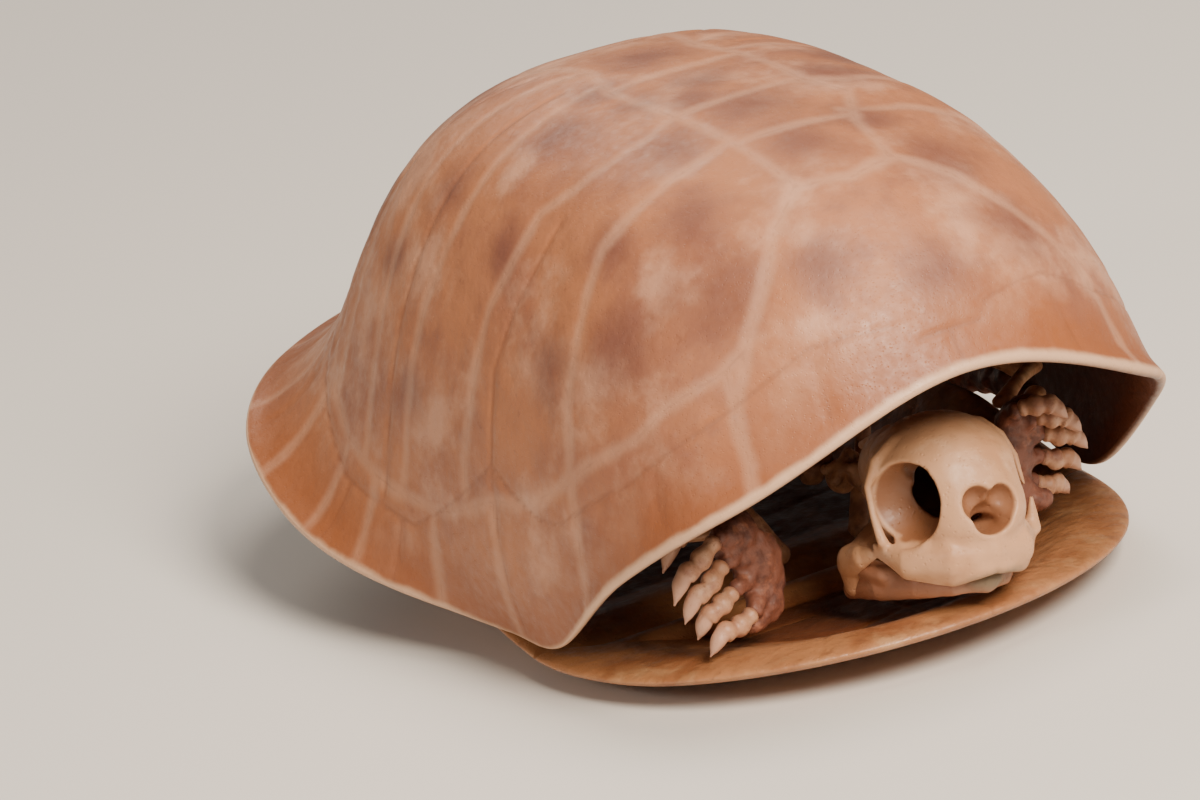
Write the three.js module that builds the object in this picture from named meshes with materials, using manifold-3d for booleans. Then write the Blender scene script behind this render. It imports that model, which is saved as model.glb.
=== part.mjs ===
// Skeleton of a small land turtle with a high, hinged shell, in millimetres.
// The head looks towards -Y, the animal's left is +X and up is +Z. The origin is under the
// middle of the skeleton, on the surface that the belly shell rests on.
import * as THREE from "three";
import { ParametricGeometry } from "three/addons/geometries/ParametricGeometry.js";
import { mergeVertices } from "three/addons/utils/BufferGeometryUtils.js";
import Module from "manifold-3d";

const wasm = await Module();
wasm.setup();

// Upper shell
const SHELL_TOP = 68.4; // height of the crown
const SHELL_WALL = 2.4; // thickness of the bone
const RIM_WALL = 1.5; // thickness at the free edge
const CROWN_SHIFT = 6.6; // how far the crown stands behind the centre of the rim
const DOME_SIDE = 46.7; // half width of the dome at its foot
const DOME_FRONT = 62.4; // reach of the dome's foot towards the head
const DOME_REAR = 55.6; // and towards the tail
const DOME_POWER = 2.44; // 2 is an ellipse, higher is squarer
const FLARE_RISE = 0.128; // share of the height in which the brim's flare dies away
const DOME_INWARD = [0.664, -0.05, 0.025]; // how fast the dome draws in: mean, to the head, four-sided
const DOME_CLIMB = [1.152, -0.036]; // how late it climbs: mean, to the head
// Free edge of the shell: angle from the head in degrees, reach from the centre, height
const RIM = [
  [0, 64.7, 42.7],
  [30, 64.5, 30.4],
  [45, 57.3, 20],
  [60, 48, 7],
  [75, 43.7, 5.6],
  [90, 46.7, 7.7],
  [120, 61.7, 15],
  [135, 69.5, 21],
  [150, 72.8, 24.4],
  [180, 72.4, 27],
];

// Belly shell: two lobes that meet at a hinge
const HINGE_Y = -16.6;
const HINGE_GAP = 0.5;
const LOBE_WIDTH = 42; // half width at the hinge
const FRONT_REACH = 39.5; // hinge to the front edge
const REAR_REACH = 73; // hinge to the rear edge
const LOBE_THICK = 4.2;
const FRONT_TILT = 4.4; // how far the front edge stands above the hinge
const FRONT_TILT_POWER = 1.2; // 1 is a straight slope, higher curls up later
const REAR_TILT = 1.6;
const REAR_TILT_FROM = 30; // where the rear lobe starts to rise, and over how far
const REAR_TILT_OVER = 27;
const FRONT_POWER = 2; // squareness of the outlines, as of the dome
const REAR_POWER = 2.6;
const BRIDGE_WIDTH = [31, 41]; // from the middle, where the rise starts and is full
const LOBE_MIDDLE = 0.42; // centre of a lobe as a share of its reach
const HINGE_CORNER = 0.8; // lower packs the points nearer to the hinge corners
const BORDER_IN = 0.61; // roundness of the border, inwards
const BORDER_UP = 0.95; // and upwards
const DISH = 2.2; // depth of the hollow inside the thick border
// Where the belly shell's sides reach up inside the upper shell: place along Y, rise
const BRIDGE = [
  [-45, 0],
  [-27, 0.8],
  [-14, 2.1],
  [-4, 3.9],
  [8, 7],
  [20, 7.2],
  [44, 0],
];

// Head
const BEAK = [3.3, -60.5, 14.4];
const HEAD_TURN = { pitch: -6, roll: 6, yaw: 1 }; // degrees, the chin on the belly shell's lip
const HEAD_SPREAD = [1.1, 1.03, 1]; // the broad, short head of this kind of turtle

// Materials: dry bone in the tones of each group of pieces
const BONE = {
  shell: { color: "#a9836c", roughness: 0.5, metalness: 0 },
  belly: { color: "#b98258", roughness: 0.55, metalness: 0 },
  head: { color: "#d9bd9c", roughness: 0.6, metalness: 0 },
  limb: { color: "#a9805f", roughness: 0.65, metalness: 0 },
};

// The origin is midway between the front and the rear of the upper shell.
const MIDDLE_Y = (RIM[RIM.length - 1][1] - RIM[0][1]) / 2;

const root = new THREE.Group();
const skeleton = new THREE.Group();
skeleton.position.set(0, -MIDDLE_Y, 0);
root.add(skeleton);
const head = new THREE.Group();
head.position.set(...BEAK);
head.rotation.set(
  THREE.MathUtils.degToRad(HEAD_TURN.pitch),
  THREE.MathUtils.degToRad(HEAD_TURN.roll),
  THREE.MathUtils.degToRad(HEAD_TURN.yaw),
  "ZXY",
);
head.scale.set(...HEAD_SPREAD);
skeleton.add(head);

function point(list) {
  return new THREE.Vector3(...list);
}

// A smooth curve through rows of [place, value, value...], read at any place.
function smooth(rows, place, column = 1) {
  let i = 0;
  while (i < rows.length - 2 && place > rows[i + 1][0]) i += 1;
  const slope = (k) => {
    const a = rows[Math.max(k - 1, 0)];
    const b = rows[Math.min(k + 1, rows.length - 1)];
    return k === 0 || k === rows.length - 1 ? 0 : (b[column] - a[column]) / (b[0] - a[0]);
  };
  const span = rows[i + 1][0] - rows[i][0];
  const f = THREE.MathUtils.clamp((place - rows[i][0]) / span, 0, 1);
  const from = rows[i][column];
  const to = rows[i + 1][column];
  return (
    from * (2 * f ** 3 - 3 * f ** 2 + 1) +
    to * (3 * f ** 2 - 2 * f ** 3) +
    slope(i) * span * (f ** 3 - 2 * f ** 2 + f) +
    slope(i + 1) * span * (f ** 3 - f ** 2)
  );
}

// Turns a closed three.js geometry into a solid: welds it, drops faces that have
// collapsed at a pole and turns it the right way out.
function solidOf(geometry) {
  geometry.deleteAttribute("normal");
  geometry.deleteAttribute("uv");
  const welded = mergeVertices(geometry, 1e-4);
  const kept = [];
  const index = welded.index.array;
  for (let i = 0; i < index.length; i += 3) {
    const [a, b, c] = [index[i], index[i + 1], index[i + 2]];
    if (a !== b && b !== c && c !== a) kept.push(a, b, c);
  }
  const build = (triVerts) =>
    new wasm.Manifold(
      new wasm.Mesh({
        numProp: 3,
        vertProperties: new Float32Array(welded.attributes.position.array),
        triVerts: new Uint32Array(triVerts),
      }),
    );
  const made = build(kept);
  return made.volume() < 0 ? build(kept.reverse()) : made;
}

function geometryOf(solid) {
  const mesh = solid.getMesh();
  const geometry = new THREE.BufferGeometry();
  geometry.setAttribute("position", new THREE.BufferAttribute(mesh.vertProperties, 3));
  geometry.setIndex(new THREE.BufferAttribute(mesh.triVerts, 1));
  geometry.computeVertexNormals();
  return geometry;
}

function join(solids) {
  return solids.reduce((sum, next) => sum.add(next));
}

function addPiece(name, solid, finish, group = skeleton) {
  const mesh = new THREE.Mesh(geometryOf(solid), new THREE.MeshStandardMaterial(finish));
  mesh.name = name;
  group.add(mesh);
}

// A closed surface of rows and columns. The first and the last row are poles.
function skin(columns, rows, place) {
  const onGrid = (u, v, target) => {
    const around = (Math.round(u * columns) % columns) / columns;
    place(around, Math.round(v * rows), target);
  };
  return solidOf(new ParametricGeometry(onGrid, columns, rows));
}

// A bone along a smooth path. Girths are rows of [share of length, half width, half depth];
// both ends close in a rounded cap.
function bone(path, girths, sides = 7, steps = 7) {
  const curve = new THREE.CatmullRomCurve3(path.map(point));
  const frames = curve.computeFrenetFrames(steps, false);
  return skin(sides, steps + 2, (around, row, target) => {
    const step = THREE.MathUtils.clamp(row - 1, 0, steps);
    const share = step / steps;
    const pole = row === 0 || row === steps + 2;
    const angle = 2 * Math.PI * around;
    const bulge = pole ? 0 : 1;
    const wide = smooth(girths, share, 1) * bulge;
    const deep = smooth(girths, share, 2) * bulge;
    const cap = pole ? 0.5 * smooth(girths, share, 1) * (row === 0 ? -1 : 1) : 0;
    target
      .copy(curve.getPointAt(share))
      .addScaledVector(frames.tangents[step], cap)
      .addScaledVector(frames.normals[step], deep * Math.cos(angle))
      .addScaledVector(frames.binormals[step], wide * Math.sin(angle));
  });
}

// A long bone: wide ends, slim shaft.
function longBone(from, middle, to, end, shaft) {
  const girths = [
    [0, end, end * 0.8],
    [0.2, shaft * 1.1, shaft],
    [0.5, shaft, shaft],
    [0.8, shaft * 1.2, shaft],
    [1, end, end * 0.75],
  ];
  return bone([from, middle, to], girths, 6, 5);
}

function ball(centre, radii, columns = 14, rows = 9) {
  const geometry = new THREE.SphereGeometry(1, columns, rows);
  geometry.scale(...radii);
  geometry.translate(...centre);
  return solidOf(geometry);
}

function mirrored(list, side) {
  return [list[0] * side, list[1], list[2]];
}

// A point of the upper shell's outer face. Turn runs round from the head in radians,
// rise from 0 at the free edge to 1 at the crown.
function shellFace(turn, rise) {
  const ahead = Math.cos(turn);
  const aside = Math.sin(turn);
  const angle = THREE.MathUtils.radToDeg(Math.acos(THREE.MathUtils.clamp(ahead, -1, 1)));
  const reach = smooth(RIM, angle, 1);
  const edge = smooth(RIM, angle, 2);
  const length = ahead > 0 ? DOME_FRONT : DOME_REAR;
  const foot =
    (Math.abs(aside / DOME_SIDE) ** DOME_POWER + Math.abs(ahead / length) ** DOME_POWER) **
    (-1 / DOME_POWER);
  const lift = (rise * Math.PI) / 2;
  const [mean, fore, square] = DOME_INWARD;
  const inward = Math.max(Math.cos(lift), 0) ** (mean + fore * ahead + square * Math.cos(2 * turn));
  const height = Math.sin(lift) ** (DOME_CLIMB[0] + DOME_CLIMB[1] * ahead);
  const out = (foot + (reach - foot) * Math.exp(-height / FLARE_RISE)) * inward;
  return new THREE.Vector3(
    out * aside,
    -out * ahead + CROWN_SHIFT * (1 - out / reach),
    edge + (SHELL_TOP - edge) * height,
  );
}

// The same point pushed into the bone, square to the face.
function shellInside(turn, rise, depth) {
  const here = shellFace(turn, rise);
  if (rise > 0.999) return here.setZ(here.z - depth);
  const step = 1e-3;
  const along = shellFace(turn + step, rise).sub(shellFace(turn - step, rise));
  const up = shellFace(turn, rise + step).sub(here);
  const normal = along.cross(up).normalize();
  return here.addScaledVector(normal, -depth);
}

// Height of the upper shell's inner face on the midline.
function ceiling(y) {
  const turn = y < CROWN_SHIFT ? 0 : Math.PI;
  let low = 0;
  let high = 1;
  for (let i = 0; i < 30; i += 1) {
    const middle = (low + high) / 2;
    const reached = Math.abs(shellFace(turn, middle).y - CROWN_SHIFT);
    if (reached > Math.abs(y - CROWN_SHIFT)) low = middle;
    else high = middle;
  }
  return shellInside(turn, (low + high) / 2, SHELL_WALL).z;
}

// Upper shell with the back vertebrae and rib heads grown onto its inner face.
const COLUMN_FRONT = -33;
const COLUMN_REAR = 38;
const COLUMN_DROP = 2; // centre of the column below the inner face
const RIB_PAIRS = 8;

function carapace() {
  const columns = 36;
  const half = 9;
  const rise = (k) => (k / half) ** 1.25;
  const shell = skin(columns, 2 * half + 1, (around, row, target) => {
    const turn = 2 * Math.PI * around;
    if (row <= half) {
      target.copy(shellFace(turn, rise(half - row)));
    } else {
      const up = rise(row - half - 1);
      target.copy(shellInside(turn, up, up === 0 ? RIM_WALL : SHELL_WALL));
    }
  });
  const parts = [shell];
  const stations = [];
  for (let i = 0; i <= RIB_PAIRS; i += 1) {
    const y = COLUMN_FRONT + ((COLUMN_REAR - COLUMN_FRONT) * i) / RIB_PAIRS;
    stations.push([0, y, ceiling(y) - COLUMN_DROP]);
  }
  parts.push(bone(stations, [[0, 2.6, 2.4], [0.5, 2.2, 2], [1, 2.6, 2.2]], 5, 10));
  for (let i = 0; i < RIB_PAIRS; i += 1) {
    const y = (stations[i][1] + stations[i + 1][1]) / 2;
    const z = ceiling(y);
    for (const side of [-1, 1]) {
      const path = [[0, y, z - COLUMN_DROP], [side * 5, y, z - 2.4], [side * 11, y, z - 0.6]];
      parts.push(bone(path, [[0, 0.9, 0.9], [0.5, 0.8, 0.7], [1, 1.6, 1.1]], 4, 2));
    }
  }
  return join(parts);
}

// A dished plate with a rounded edge: the outline is a function of the share of a turn.
function plate(outline, centre, middle) {
  const columns = 28;
  const rows = 9;
  return skin(columns, rows, (around, row, target) => {
    const swing = (Math.PI * row) / rows;
    const out = Math.sin(swing) ** BORDER_IN;
    const over = Math.sign(Math.cos(swing)) * Math.abs(Math.cos(swing)) ** BORDER_UP;
    const edge = outline(around);
    const x = edge[0] * out;
    const y = centre + (edge[1] - centre) * out;
    const half = LOBE_THICK / 2;
    const inside = 1 - THREE.MathUtils.smoothstep(out, 0.66, 0.86);
    const hollow = over > 0 ? DISH * inside : 0;
    target.set(x, y, half + middle(x, y) + over * half - hollow);
  });
}

// The belly shell's side edges rise inside the upper shell, from the hinge to the legs.
function bridge(x, y) {
  const near = THREE.MathUtils.smoothstep(Math.abs(x), ...BRIDGE_WIDTH);
  return smooth(BRIDGE, THREE.MathUtils.clamp(y, BRIDGE[0][0], BRIDGE[BRIDGE.length - 1][0])) * near;
}

// Outline of a lobe: half a superellipse, closed by the straight hinge line.
function lobeOutline(reach, power, gap) {
  return (around) => {
    const ahead = Math.cos(2 * Math.PI * around);
    const across = Math.sin(2 * Math.PI * around);
    const bend = ahead > 0 ? 2 / power : HINGE_CORNER;
    const wide = Math.sign(across) * Math.abs(across) ** bend;
    const long = ahead > 0 ? ahead ** bend : 0;
    return [LOBE_WIDTH * wide, HINGE_Y + gap + reach * long];
  };
}

function frontLobe() {
  const outline = lobeOutline(-FRONT_REACH, FRONT_POWER, -HINGE_GAP / 2);
  const gone = (y) => Math.max(0, (HINGE_Y - y) / FRONT_REACH);
  const rise = (x, y) => FRONT_TILT * gone(y) ** FRONT_TILT_POWER + bridge(x, y);
  return plate(outline, HINGE_Y - FRONT_REACH * LOBE_MIDDLE, rise);
}

function rearLobe() {
  const outline = lobeOutline(REAR_REACH, REAR_POWER, HINGE_GAP / 2);
  const gone = (y) => Math.max(0, (y - REAR_TILT_FROM) / REAR_TILT_OVER);
  const rise = (x, y) => REAR_TILT * gone(y) ** 2 + bridge(x, y);
  return plate(outline, HINGE_Y + REAR_REACH * LOBE_MIDDLE, rise);
}

// The head is made in its own frame: beak tip at the origin, back of the head at +Y.

// The lower jaw as a bent rod; spare makes it fatter all round.
function lowerJaw(spare) {
  const girths = [
    [0, 1.4, 1.2],
    [0.12, 2.2, 1.3],
    [0.3, 1.8, 1.1],
    [0.5, 1.3, 1.3],
    [0.7, 1.8, 1.1],
    [0.88, 2.2, 1.3],
    [1, 1.4, 1.2],
  ].map(([share, wide, deep]) => [share, wide + spare, deep + spare]);
  const jaw = (side) => [[side * 8.8, 21.4, -4.4], [side * 7.8, 15.4, -3.2], [side * 6, 10, -3.1]];
  return bone([...jaw(-1), [0, 4.4, -2.7], ...jaw(1).reverse()], girths, 6, 16);
}

function skull() {
  const parts = [
    ball([0, 18.5, 9], [5.2, 11, 6.6], 14, 9), // braincase
    ball([0, 12.6, 8.4], [9.2, 11.3, 9.6], 18, 12), // roof
    ball([0, 8, 6.2], [7.5, 8.1, 7], 14, 10), // snout
    bone([[0, 22, 13.2], [0, 27, 12.4], [0, 31.5, 11]], [[0, 1.6, 2], [1, 0.7, 0.9]], 6, 3),
    ball([0, 28.6, 5.8], [2, 2.2, 1.8], 6, 4),
  ];
  for (const side of [-1, 1]) {
    const cheek = [[0, 2, 1], [side * 4.6, 3.2, 0.4], [side * 7.8, 8.4, 0.3], [side * 9.4, 13, 2]];
    const plate = [[side * 9.2, 13.4, 1.2], [side * 9.6, 17, 0.4], [side * 9.4, 19.8, -1]];
    const quadrate = [[side * 9.4, 19.4, -0.4], [side * 9.1, 20, -3.6]];
    parts.push(bone(cheek, [[0, 2.1, 1.6], [0.5, 2.4, 1.4], [1, 0.9, 0.6]], 6, 5));
    parts.push(bone(plate, [[0, 1, 0.7], [0.5, 1.9, 1], [1, 2.4, 1.2]], 6, 3));
    parts.push(bone(quadrate, [[0, 2, 1.5], [1, 1.5, 1.4]], 6, 2));
    parts.push(bone([[side * 3.6, 21.4, 4], [side * 8.8, 19.8, 0]], [[0, 1.6, 1.6], [1, 1.5, 1.5]], 6, 2));
  }
  let body = join(parts);
  for (const side of [-1, 1]) {
    body = body.subtract(ball([side * 9.4, 8, 8.2], [6.6, 5.7, 5.8], 14, 9)); // eye socket
    body = body.subtract(ball([side * 10.4, 20.6, 9], [5.7, 6.5, 7.2], 10, 8)); // behind it
  }
  const hollows = [
    ball([0, 15.2, 8.8], [4, 10.4, 4.2], 10, 7), // room for the brain, open to the eye sockets
    ball([0, -0.2, 7.2], [3.5, 3.6, 3.4], 12, 7), // nose
    ball([0, 16, -1.8], [6, 12, 4.6], 10, 6), // palate
    ball([10.6, 15.2, 5.4], [4.4, 5, 3.2], 8, 6), // where the left bar is broken
    lowerJaw(0.35),
  ];
  body = hollows.reduce((left, hollow) => left.subtract(hollow), body);
  // The bars behind the eyes: the right one is whole, the left one is broken off.
  const rightBar = [
    [-5.4, 12.6, 14.6],
    [-8.2, 13.2, 13],
    [-9.5, 13, 10],
    [-9.5, 11.8, 6.2],
    [-9.1, 10.8, 2.4],
  ];
  const leftStump = [[5.4, 12.4, 14.6], [8.2, 12.4, 13.2], [9.4, 11.7, 10.3], [9.5, 10.4, 7]];
  const bar = [[0, 1.3, 1.1], [0.5, 0.7, 0.7], [1, 1, 0.9]];
  const spike = [[0, 1.2, 1], [1, 0.4, 0.4]];
  return join([
    body,
    bone(rightBar, bar, 5, 6),
    bone(leftStump, spike, 5, 4),
    bone([[9, 9, 1.2], [9.5, 8.8, 5]], spike, 5, 2),
  ]);
}

// Neck vertebrae along an S-shaped path from the back of the head to the shell.
const VERTEBRA_GAP = 0.5;
const NECK_COUNT = 8;
const NECK_PATH = [
  [8, -22, 15.4],
  [5.4, -15.6, 14.4],
  [1.5, -10, 17],
  [0, -6, 24],
  [0, -8.5, 33],
  [0, -16, 42],
  [0, -25, 50],
  [0, -31.5, 55],
];
const TAIL_COUNT = 6;
const TAIL_PATH = [[0, 41.5, 51], [0, 45.5, 43], [0, 47, 34], [0, 46, 25], [0, 43, 17]];

function vertebra(from, to, size) {
  const middle = from.clone().lerp(to, 0.5);
  const axis = to.clone().sub(from).normalize();
  const aside = new THREE.Vector3(1, 0, 0);
  const above = aside.clone().cross(axis).normalize();
  const crest = above.multiplyScalar(size * (above.z + above.y > 0 ? 1 : -1));
  const list = (vector) => vector.toArray();
  const body = bone(
    [list(from), list(middle), list(to)],
    [[0, size, size], [0.5, size * 0.6, size * 0.6], [1, size * 1.1, size]],
    5,
    2,
  );
  const arch = bone(
    [list(middle.clone().addScaledVector(aside, -size * 1.2)), list(middle.clone().add(crest)),
      list(middle.clone().addScaledVector(aside, size * 1.2))],
    [[0, size * 0.5, size * 0.4], [0.5, size * 0.7, size * 0.5], [1, size * 0.5, size * 0.4]],
    4,
    2,
  );
  return body.add(arch);
}

function addColumn(name, path, count, sizes) {
  const curve = new THREE.CatmullRomCurve3(path.map(point));
  const gap = VERTEBRA_GAP / curve.getLength();
  for (let i = 0; i < count; i += 1) {
    const size = sizes[0] + ((sizes[1] - sizes[0]) * i) / (count - 1);
    const cap = (0.5 * size) / curve.getLength();
    const from = curve.getPointAt(i / count + gap / 2 + cap);
    const to = curve.getPointAt((i + 1) / count - gap / 2 - cap);
    addPiece(`${name}_${i + 1}`, vertebra(from, to, size), BONE.limb);
  }
}

// Shoulder blade with its two arms, and the flat coracoid behind it, for one side.
const SHOULDER = [14, -11, 27];
const HIP = [12, 26, 18];

function scapula(side) {
  const at = (list) => mirrored(list, side);
  const blade = bone(
    [SHOULDER, [12, -18, 38], [7, -29, 56]].map(at),
    [[0, 2.6, 2.4], [0.4, 1.5, 1.3], [1, 1.7, 1.2]],
    5,
    5,
  );
  const acromion = bone(
    [SHOULDER, [10.5, -15, 17], [6, -19, 7.6]].map(at),
    [[0, 2.4, 2.2], [0.5, 1.2, 1], [1, 1.7, 1]],
    5,
    4,
  );
  return blade.add(acromion);
}

function coracoid(side) {
  const path = [[13.2, -7.2, 23.8], [10.5, -2, 16.5], [8, 4, 9.4]].map((at) => mirrored(at, side));
  return bone(path, [[0, 1.7, 1.6], [0.4, 1.3, 1], [1, 4.2, 0.8]], 7, 5);
}

// Arms: elbow, wrist, carpus and each digit's root, knuckle and claw tip.
const ARMS = {
  right: {
    side: -1,
    elbow: [-36, -21, 21],
    wrist: [-19.8, -33.6, 20.6],
    carpus: [-18.6, -36.4, 14.8],
    digits: [
      [[-22.4, -34.6, 23.6], [-26.6, -35, 21.6], [-31.6, -36, 17.6]],
      [[-24.4, -38.2, 20.8], [-28.4, -39.1, 18.4], [-32.5, -39.6, 14.4]],
      [[-24, -38.4, 17.4], [-27.6, -39.6, 15.2], [-31.5, -39.8, 11.6]],
      [[-23.4, -39, 13.6], [-26.7, -39.9, 12.2], [-29.8, -39.3, 8.8]],
      [[-21.6, -40, 10.3], [-24.8, -40.9, 9.4], [-29.5, -41.5, 7]],
    ],
  },
  left: {
    side: 1,
    elbow: [36, -20, 21],
    wrist: [21.4, -33, 22],
    carpus: [19.6, -36.4, 18],
    digits: [
      [[20.2, -39.6, 25], [22.4, -41, 25.2], [26, -42.4, 22.6]],
      [[22.8, -39, 23], [25, -39.8, 22.4], [28.6, -40.8, 19.6]],
      [[24.4, -37.6, 20], [26.8, -38.2, 19], [30.4, -38.6, 16.2]],
      [[24.4, -36.6, 16.6], [26.6, -36.8, 15.4], [30.2, -36.6, 12.8]],
      [[23.4, -35.8, 13], [25.4, -35.6, 11.8], [29, -34.8, 9.4]],
    ],
  },
};

// A digit: short bones with wider joints, then a curved claw that rises by ARCH of its length.
const FINGER_GIRTH = 1.4;
const TOE_GIRTH = 1.3;
const CARPUS = [3.6, 2.1, 7.2]; // half sizes of the wrist
const ARCH = 0.2;

function digit(base, knuckle, tip, size) {
  const arch = point(knuckle).lerp(point(tip), 0.5);
  arch.z += ARCH * point(knuckle).distanceTo(point(tip));
  const girths = [
    [0, size * 0.9, size * 0.9],
    [0.2, size * 0.78, size * 0.76],
    [0.42, size, size * 0.95],
    [0.6, size * 0.85, size * 0.8],
    [0.75, size * 0.75, size * 0.85],
    [1, size * 0.16, size * 0.16],
  ];
  return bone([base, knuckle, arch.toArray(), tip], girths, 5, 6);
}

function addArm(name, arm) {
  const shoulder = [SHOULDER[0] * arm.side + arm.side * 3.6, SHOULDER[1] - 1.2, SHOULDER[2] - 0.8];
  const toward = (from, to, share) => point(from).lerp(point(to), share).toArray();
  const upper = toward(shoulder, arm.elbow, 0.5);
  upper[2] += 2.2;
  const elbowEnd = toward(arm.elbow, shoulder, 0.06);
  const wristEnd = toward(arm.wrist, arm.elbow, 0.04);
  addPiece(`humerus_${name}`, longBone(shoulder, upper, elbowEnd, 3, 1.6), BONE.limb);
  [["radius", 1.9, -2], ["ulna", -1.9, 1.4]].forEach(([title, shift, rise]) => {
    const start = toward(arm.elbow, arm.wrist, 0.17);
    start[2] += shift;
    const end = [wristEnd[0], wristEnd[1], wristEnd[2] + shift * 0.72];
    const middle = toward(start, end, 0.5);
    middle[2] -= rise * 0.2;
    addPiece(`${title}_${name}`, longBone(start, middle, end, 1.5, 0.95), BONE.limb);
  });
  addPiece(`carpus_${name}`, ball(arm.carpus, CARPUS, 10, 7), BONE.limb);
  arm.digits.forEach((places, i) => {
    addPiece(`finger_${name}_${i + 1}`, digit(...places, FINGER_GIRTH), BONE.limb);
  });
}

// Hip girdle: one ring of fused bones, open in the middle.
function pelvis() {
  const rod = [[0, 1.8, 1.6], [0.5, 1.3, 1.1], [1, 1.8, 1.3]];
  const parts = [bone([[0, 11, 8.4], [0, 24, 8], [0, 38, 8.6]], rod, 5, 4)];
  for (const side of [-1, 1]) {
    const at = (list) => mirrored(list, side);
    const ilium = [HIP, [13, 30, 32], [9, 36, 45], [5.2, 37, 51.6]].map(at);
    const pubis = [HIP, [9, 19, 12], [1, 13, 8.4]].map(at);
    const ischium = [HIP, [9, 32, 12.5], [1, 36, 8.6]].map(at);
    const prong = [[4, 14.5, 9], [10, 10.4, 8], [13.5, 8, 7.8]].map(at);
    parts.push(bone(ilium, [[0, 3.4, 3], [0.3, 1.6, 1.6], [1, 3, 1.4]], 5, 5));
    parts.push(bone(pubis, rod, 5, 3));
    parts.push(bone(ischium, rod, 5, 3));
    parts.push(bone(prong, [[0, 1.6, 1.2], [1, 1.8, 1]], 5, 2));
  }
  return join(parts);
}

const TOE_COUNT = 4;

function addLeg(name, side) {
  const at = (list) => mirrored(list, side);
  const femur = [[17.2, 24, 17.6], [27, 15.5, 17.6], [35.4, 5.6, 15]].map(at);
  addPiece(`femur_${name}`, longBone(...femur, 3, 1.7), BONE.limb);
  const tibia = [[34.6, 10.6, 12], [31, 18, 10.4], [25.4, 27, 9.4]].map(at);
  const fibula = [[38.6, 10.4, 13.6], [35, 19, 13.4], [28.6, 28.4, 12]].map(at);
  addPiece(`tibia_${name}`, longBone(...tibia, 1.9, 1.1), BONE.limb);
  addPiece(`fibula_${name}`, longBone(...fibula, 1.3, 0.8), BONE.limb);
  const tarsus = at([25, 32.4, 8.6]);
  addPiece(`tarsus_${name}`, ball(tarsus, [3.4, 2.6, 2.5], 8, 6), BONE.limb);
  for (let i = 0; i < TOE_COUNT; i += 1) {
    const aside = i - (TOE_COUNT - 1) / 2;
    const longer = 2.4 - aside * aside;
    const base = at([24.4 + aside * 2.7, 37.2, 8.2]);
    const knuckle = at([23 + aside * 3.3, 41 + longer, 8.6]);
    const tip = at([21 + aside * 4.2, 45.4 + longer, 5.8]);
    addPiece(`toe_${name}_${i + 1}`, digit(base, knuckle, tip, TOE_GIRTH), BONE.limb);
  }
}

addPiece("carapace", carapace(), BONE.shell);
addPiece("plastron_front_lobe", frontLobe(), BONE.belly);
addPiece("plastron_rear_lobe", rearLobe(), BONE.belly);
addPiece("skull", skull(), BONE.head, head);
addPiece("mandible", lowerJaw(0), BONE.head, head);
addColumn("neck_vertebra", NECK_PATH, NECK_COUNT, [2.4, 2.7]);
addColumn("tail_vertebra", TAIL_PATH, TAIL_COUNT, [2.2, 1.1]);
for (const [name, side] of [["right", -1], ["left", 1]]) {
  addPiece(`scapula_${name}`, scapula(side), BONE.limb);
  addPiece(`coracoid_${name}`, coracoid(side), BONE.limb);
  addArm(name, ARMS[name]);
  addLeg(name, side);
}
addPiece("pelvis", pelvis(), BONE.limb);

export default root;
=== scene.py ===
"""The looks of a small land turtle's dry skeleton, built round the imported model."""
import logging
import math
from collections.abc import Sequence
from dataclasses import dataclass, field
from enum import Enum

import bpy
import numpy as np
from mathutils import Matrix, Vector


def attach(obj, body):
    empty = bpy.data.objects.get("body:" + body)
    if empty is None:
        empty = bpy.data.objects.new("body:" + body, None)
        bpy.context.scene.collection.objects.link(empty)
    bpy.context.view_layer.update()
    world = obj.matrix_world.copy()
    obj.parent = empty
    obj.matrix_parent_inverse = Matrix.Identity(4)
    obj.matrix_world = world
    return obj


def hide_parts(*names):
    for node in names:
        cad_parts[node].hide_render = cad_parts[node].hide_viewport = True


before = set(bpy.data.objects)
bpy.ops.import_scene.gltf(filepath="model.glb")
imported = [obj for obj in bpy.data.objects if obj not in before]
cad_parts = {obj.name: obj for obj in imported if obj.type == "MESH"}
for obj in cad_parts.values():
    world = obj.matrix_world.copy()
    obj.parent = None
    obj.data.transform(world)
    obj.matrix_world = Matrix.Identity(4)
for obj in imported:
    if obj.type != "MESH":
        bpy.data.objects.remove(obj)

LOG = logging.getLogger("turtle_skeleton")
MM = 0.001  # metres in a millimetre
MIDDLE_Y = 3.85  # the model's origin lies this far behind the centre of the shell's rim, in mm
Point = tuple[float, float, float]
Path = Sequence[Point]
Girths = Sequence[tuple[float, float, float]]
Socket = bpy.types.NodeSocket


class Slot(Enum):
    """Material slots of the record."""

    SHELL = "shell_bone"
    BELLY = "belly_bone"
    HEAD = "head_bone"
    LIMB = "limb_bone"
    LIGAMENT = "dried_ligament"


class Side(Enum):
    """The two sides of the animal, with the sign of X on that side."""

    RIGHT = -1
    LEFT = 1

    def place(self, point: Point) -> Point:
        """Returns a point of the left side, moved to this side."""
        return (point[0] * self.value, point[1], point[2])

    def path(self, path: Path) -> list[Point]:
        """Returns a path of the left side, moved to this side."""
        return [self.place(point) for point in path]


def linear(tone: str) -> tuple[float, float, float, float]:
    """Turns an sRGB hex colour into the linear values that a shader takes.

    Args:
        tone: Colour as "#rrggbb".

    Returns:
        Linear red, green, blue and an alpha of 1.
    """
    parts = [int(tone[i : i + 2], 16) / 255 for i in (1, 3, 5)]
    red, green, blue = (c / 12.92 if c <= 0.04045 else ((c + 0.055) / 1.055) ** 2.4 for c in parts)
    return (red, green, blue, 1.0)


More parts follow.
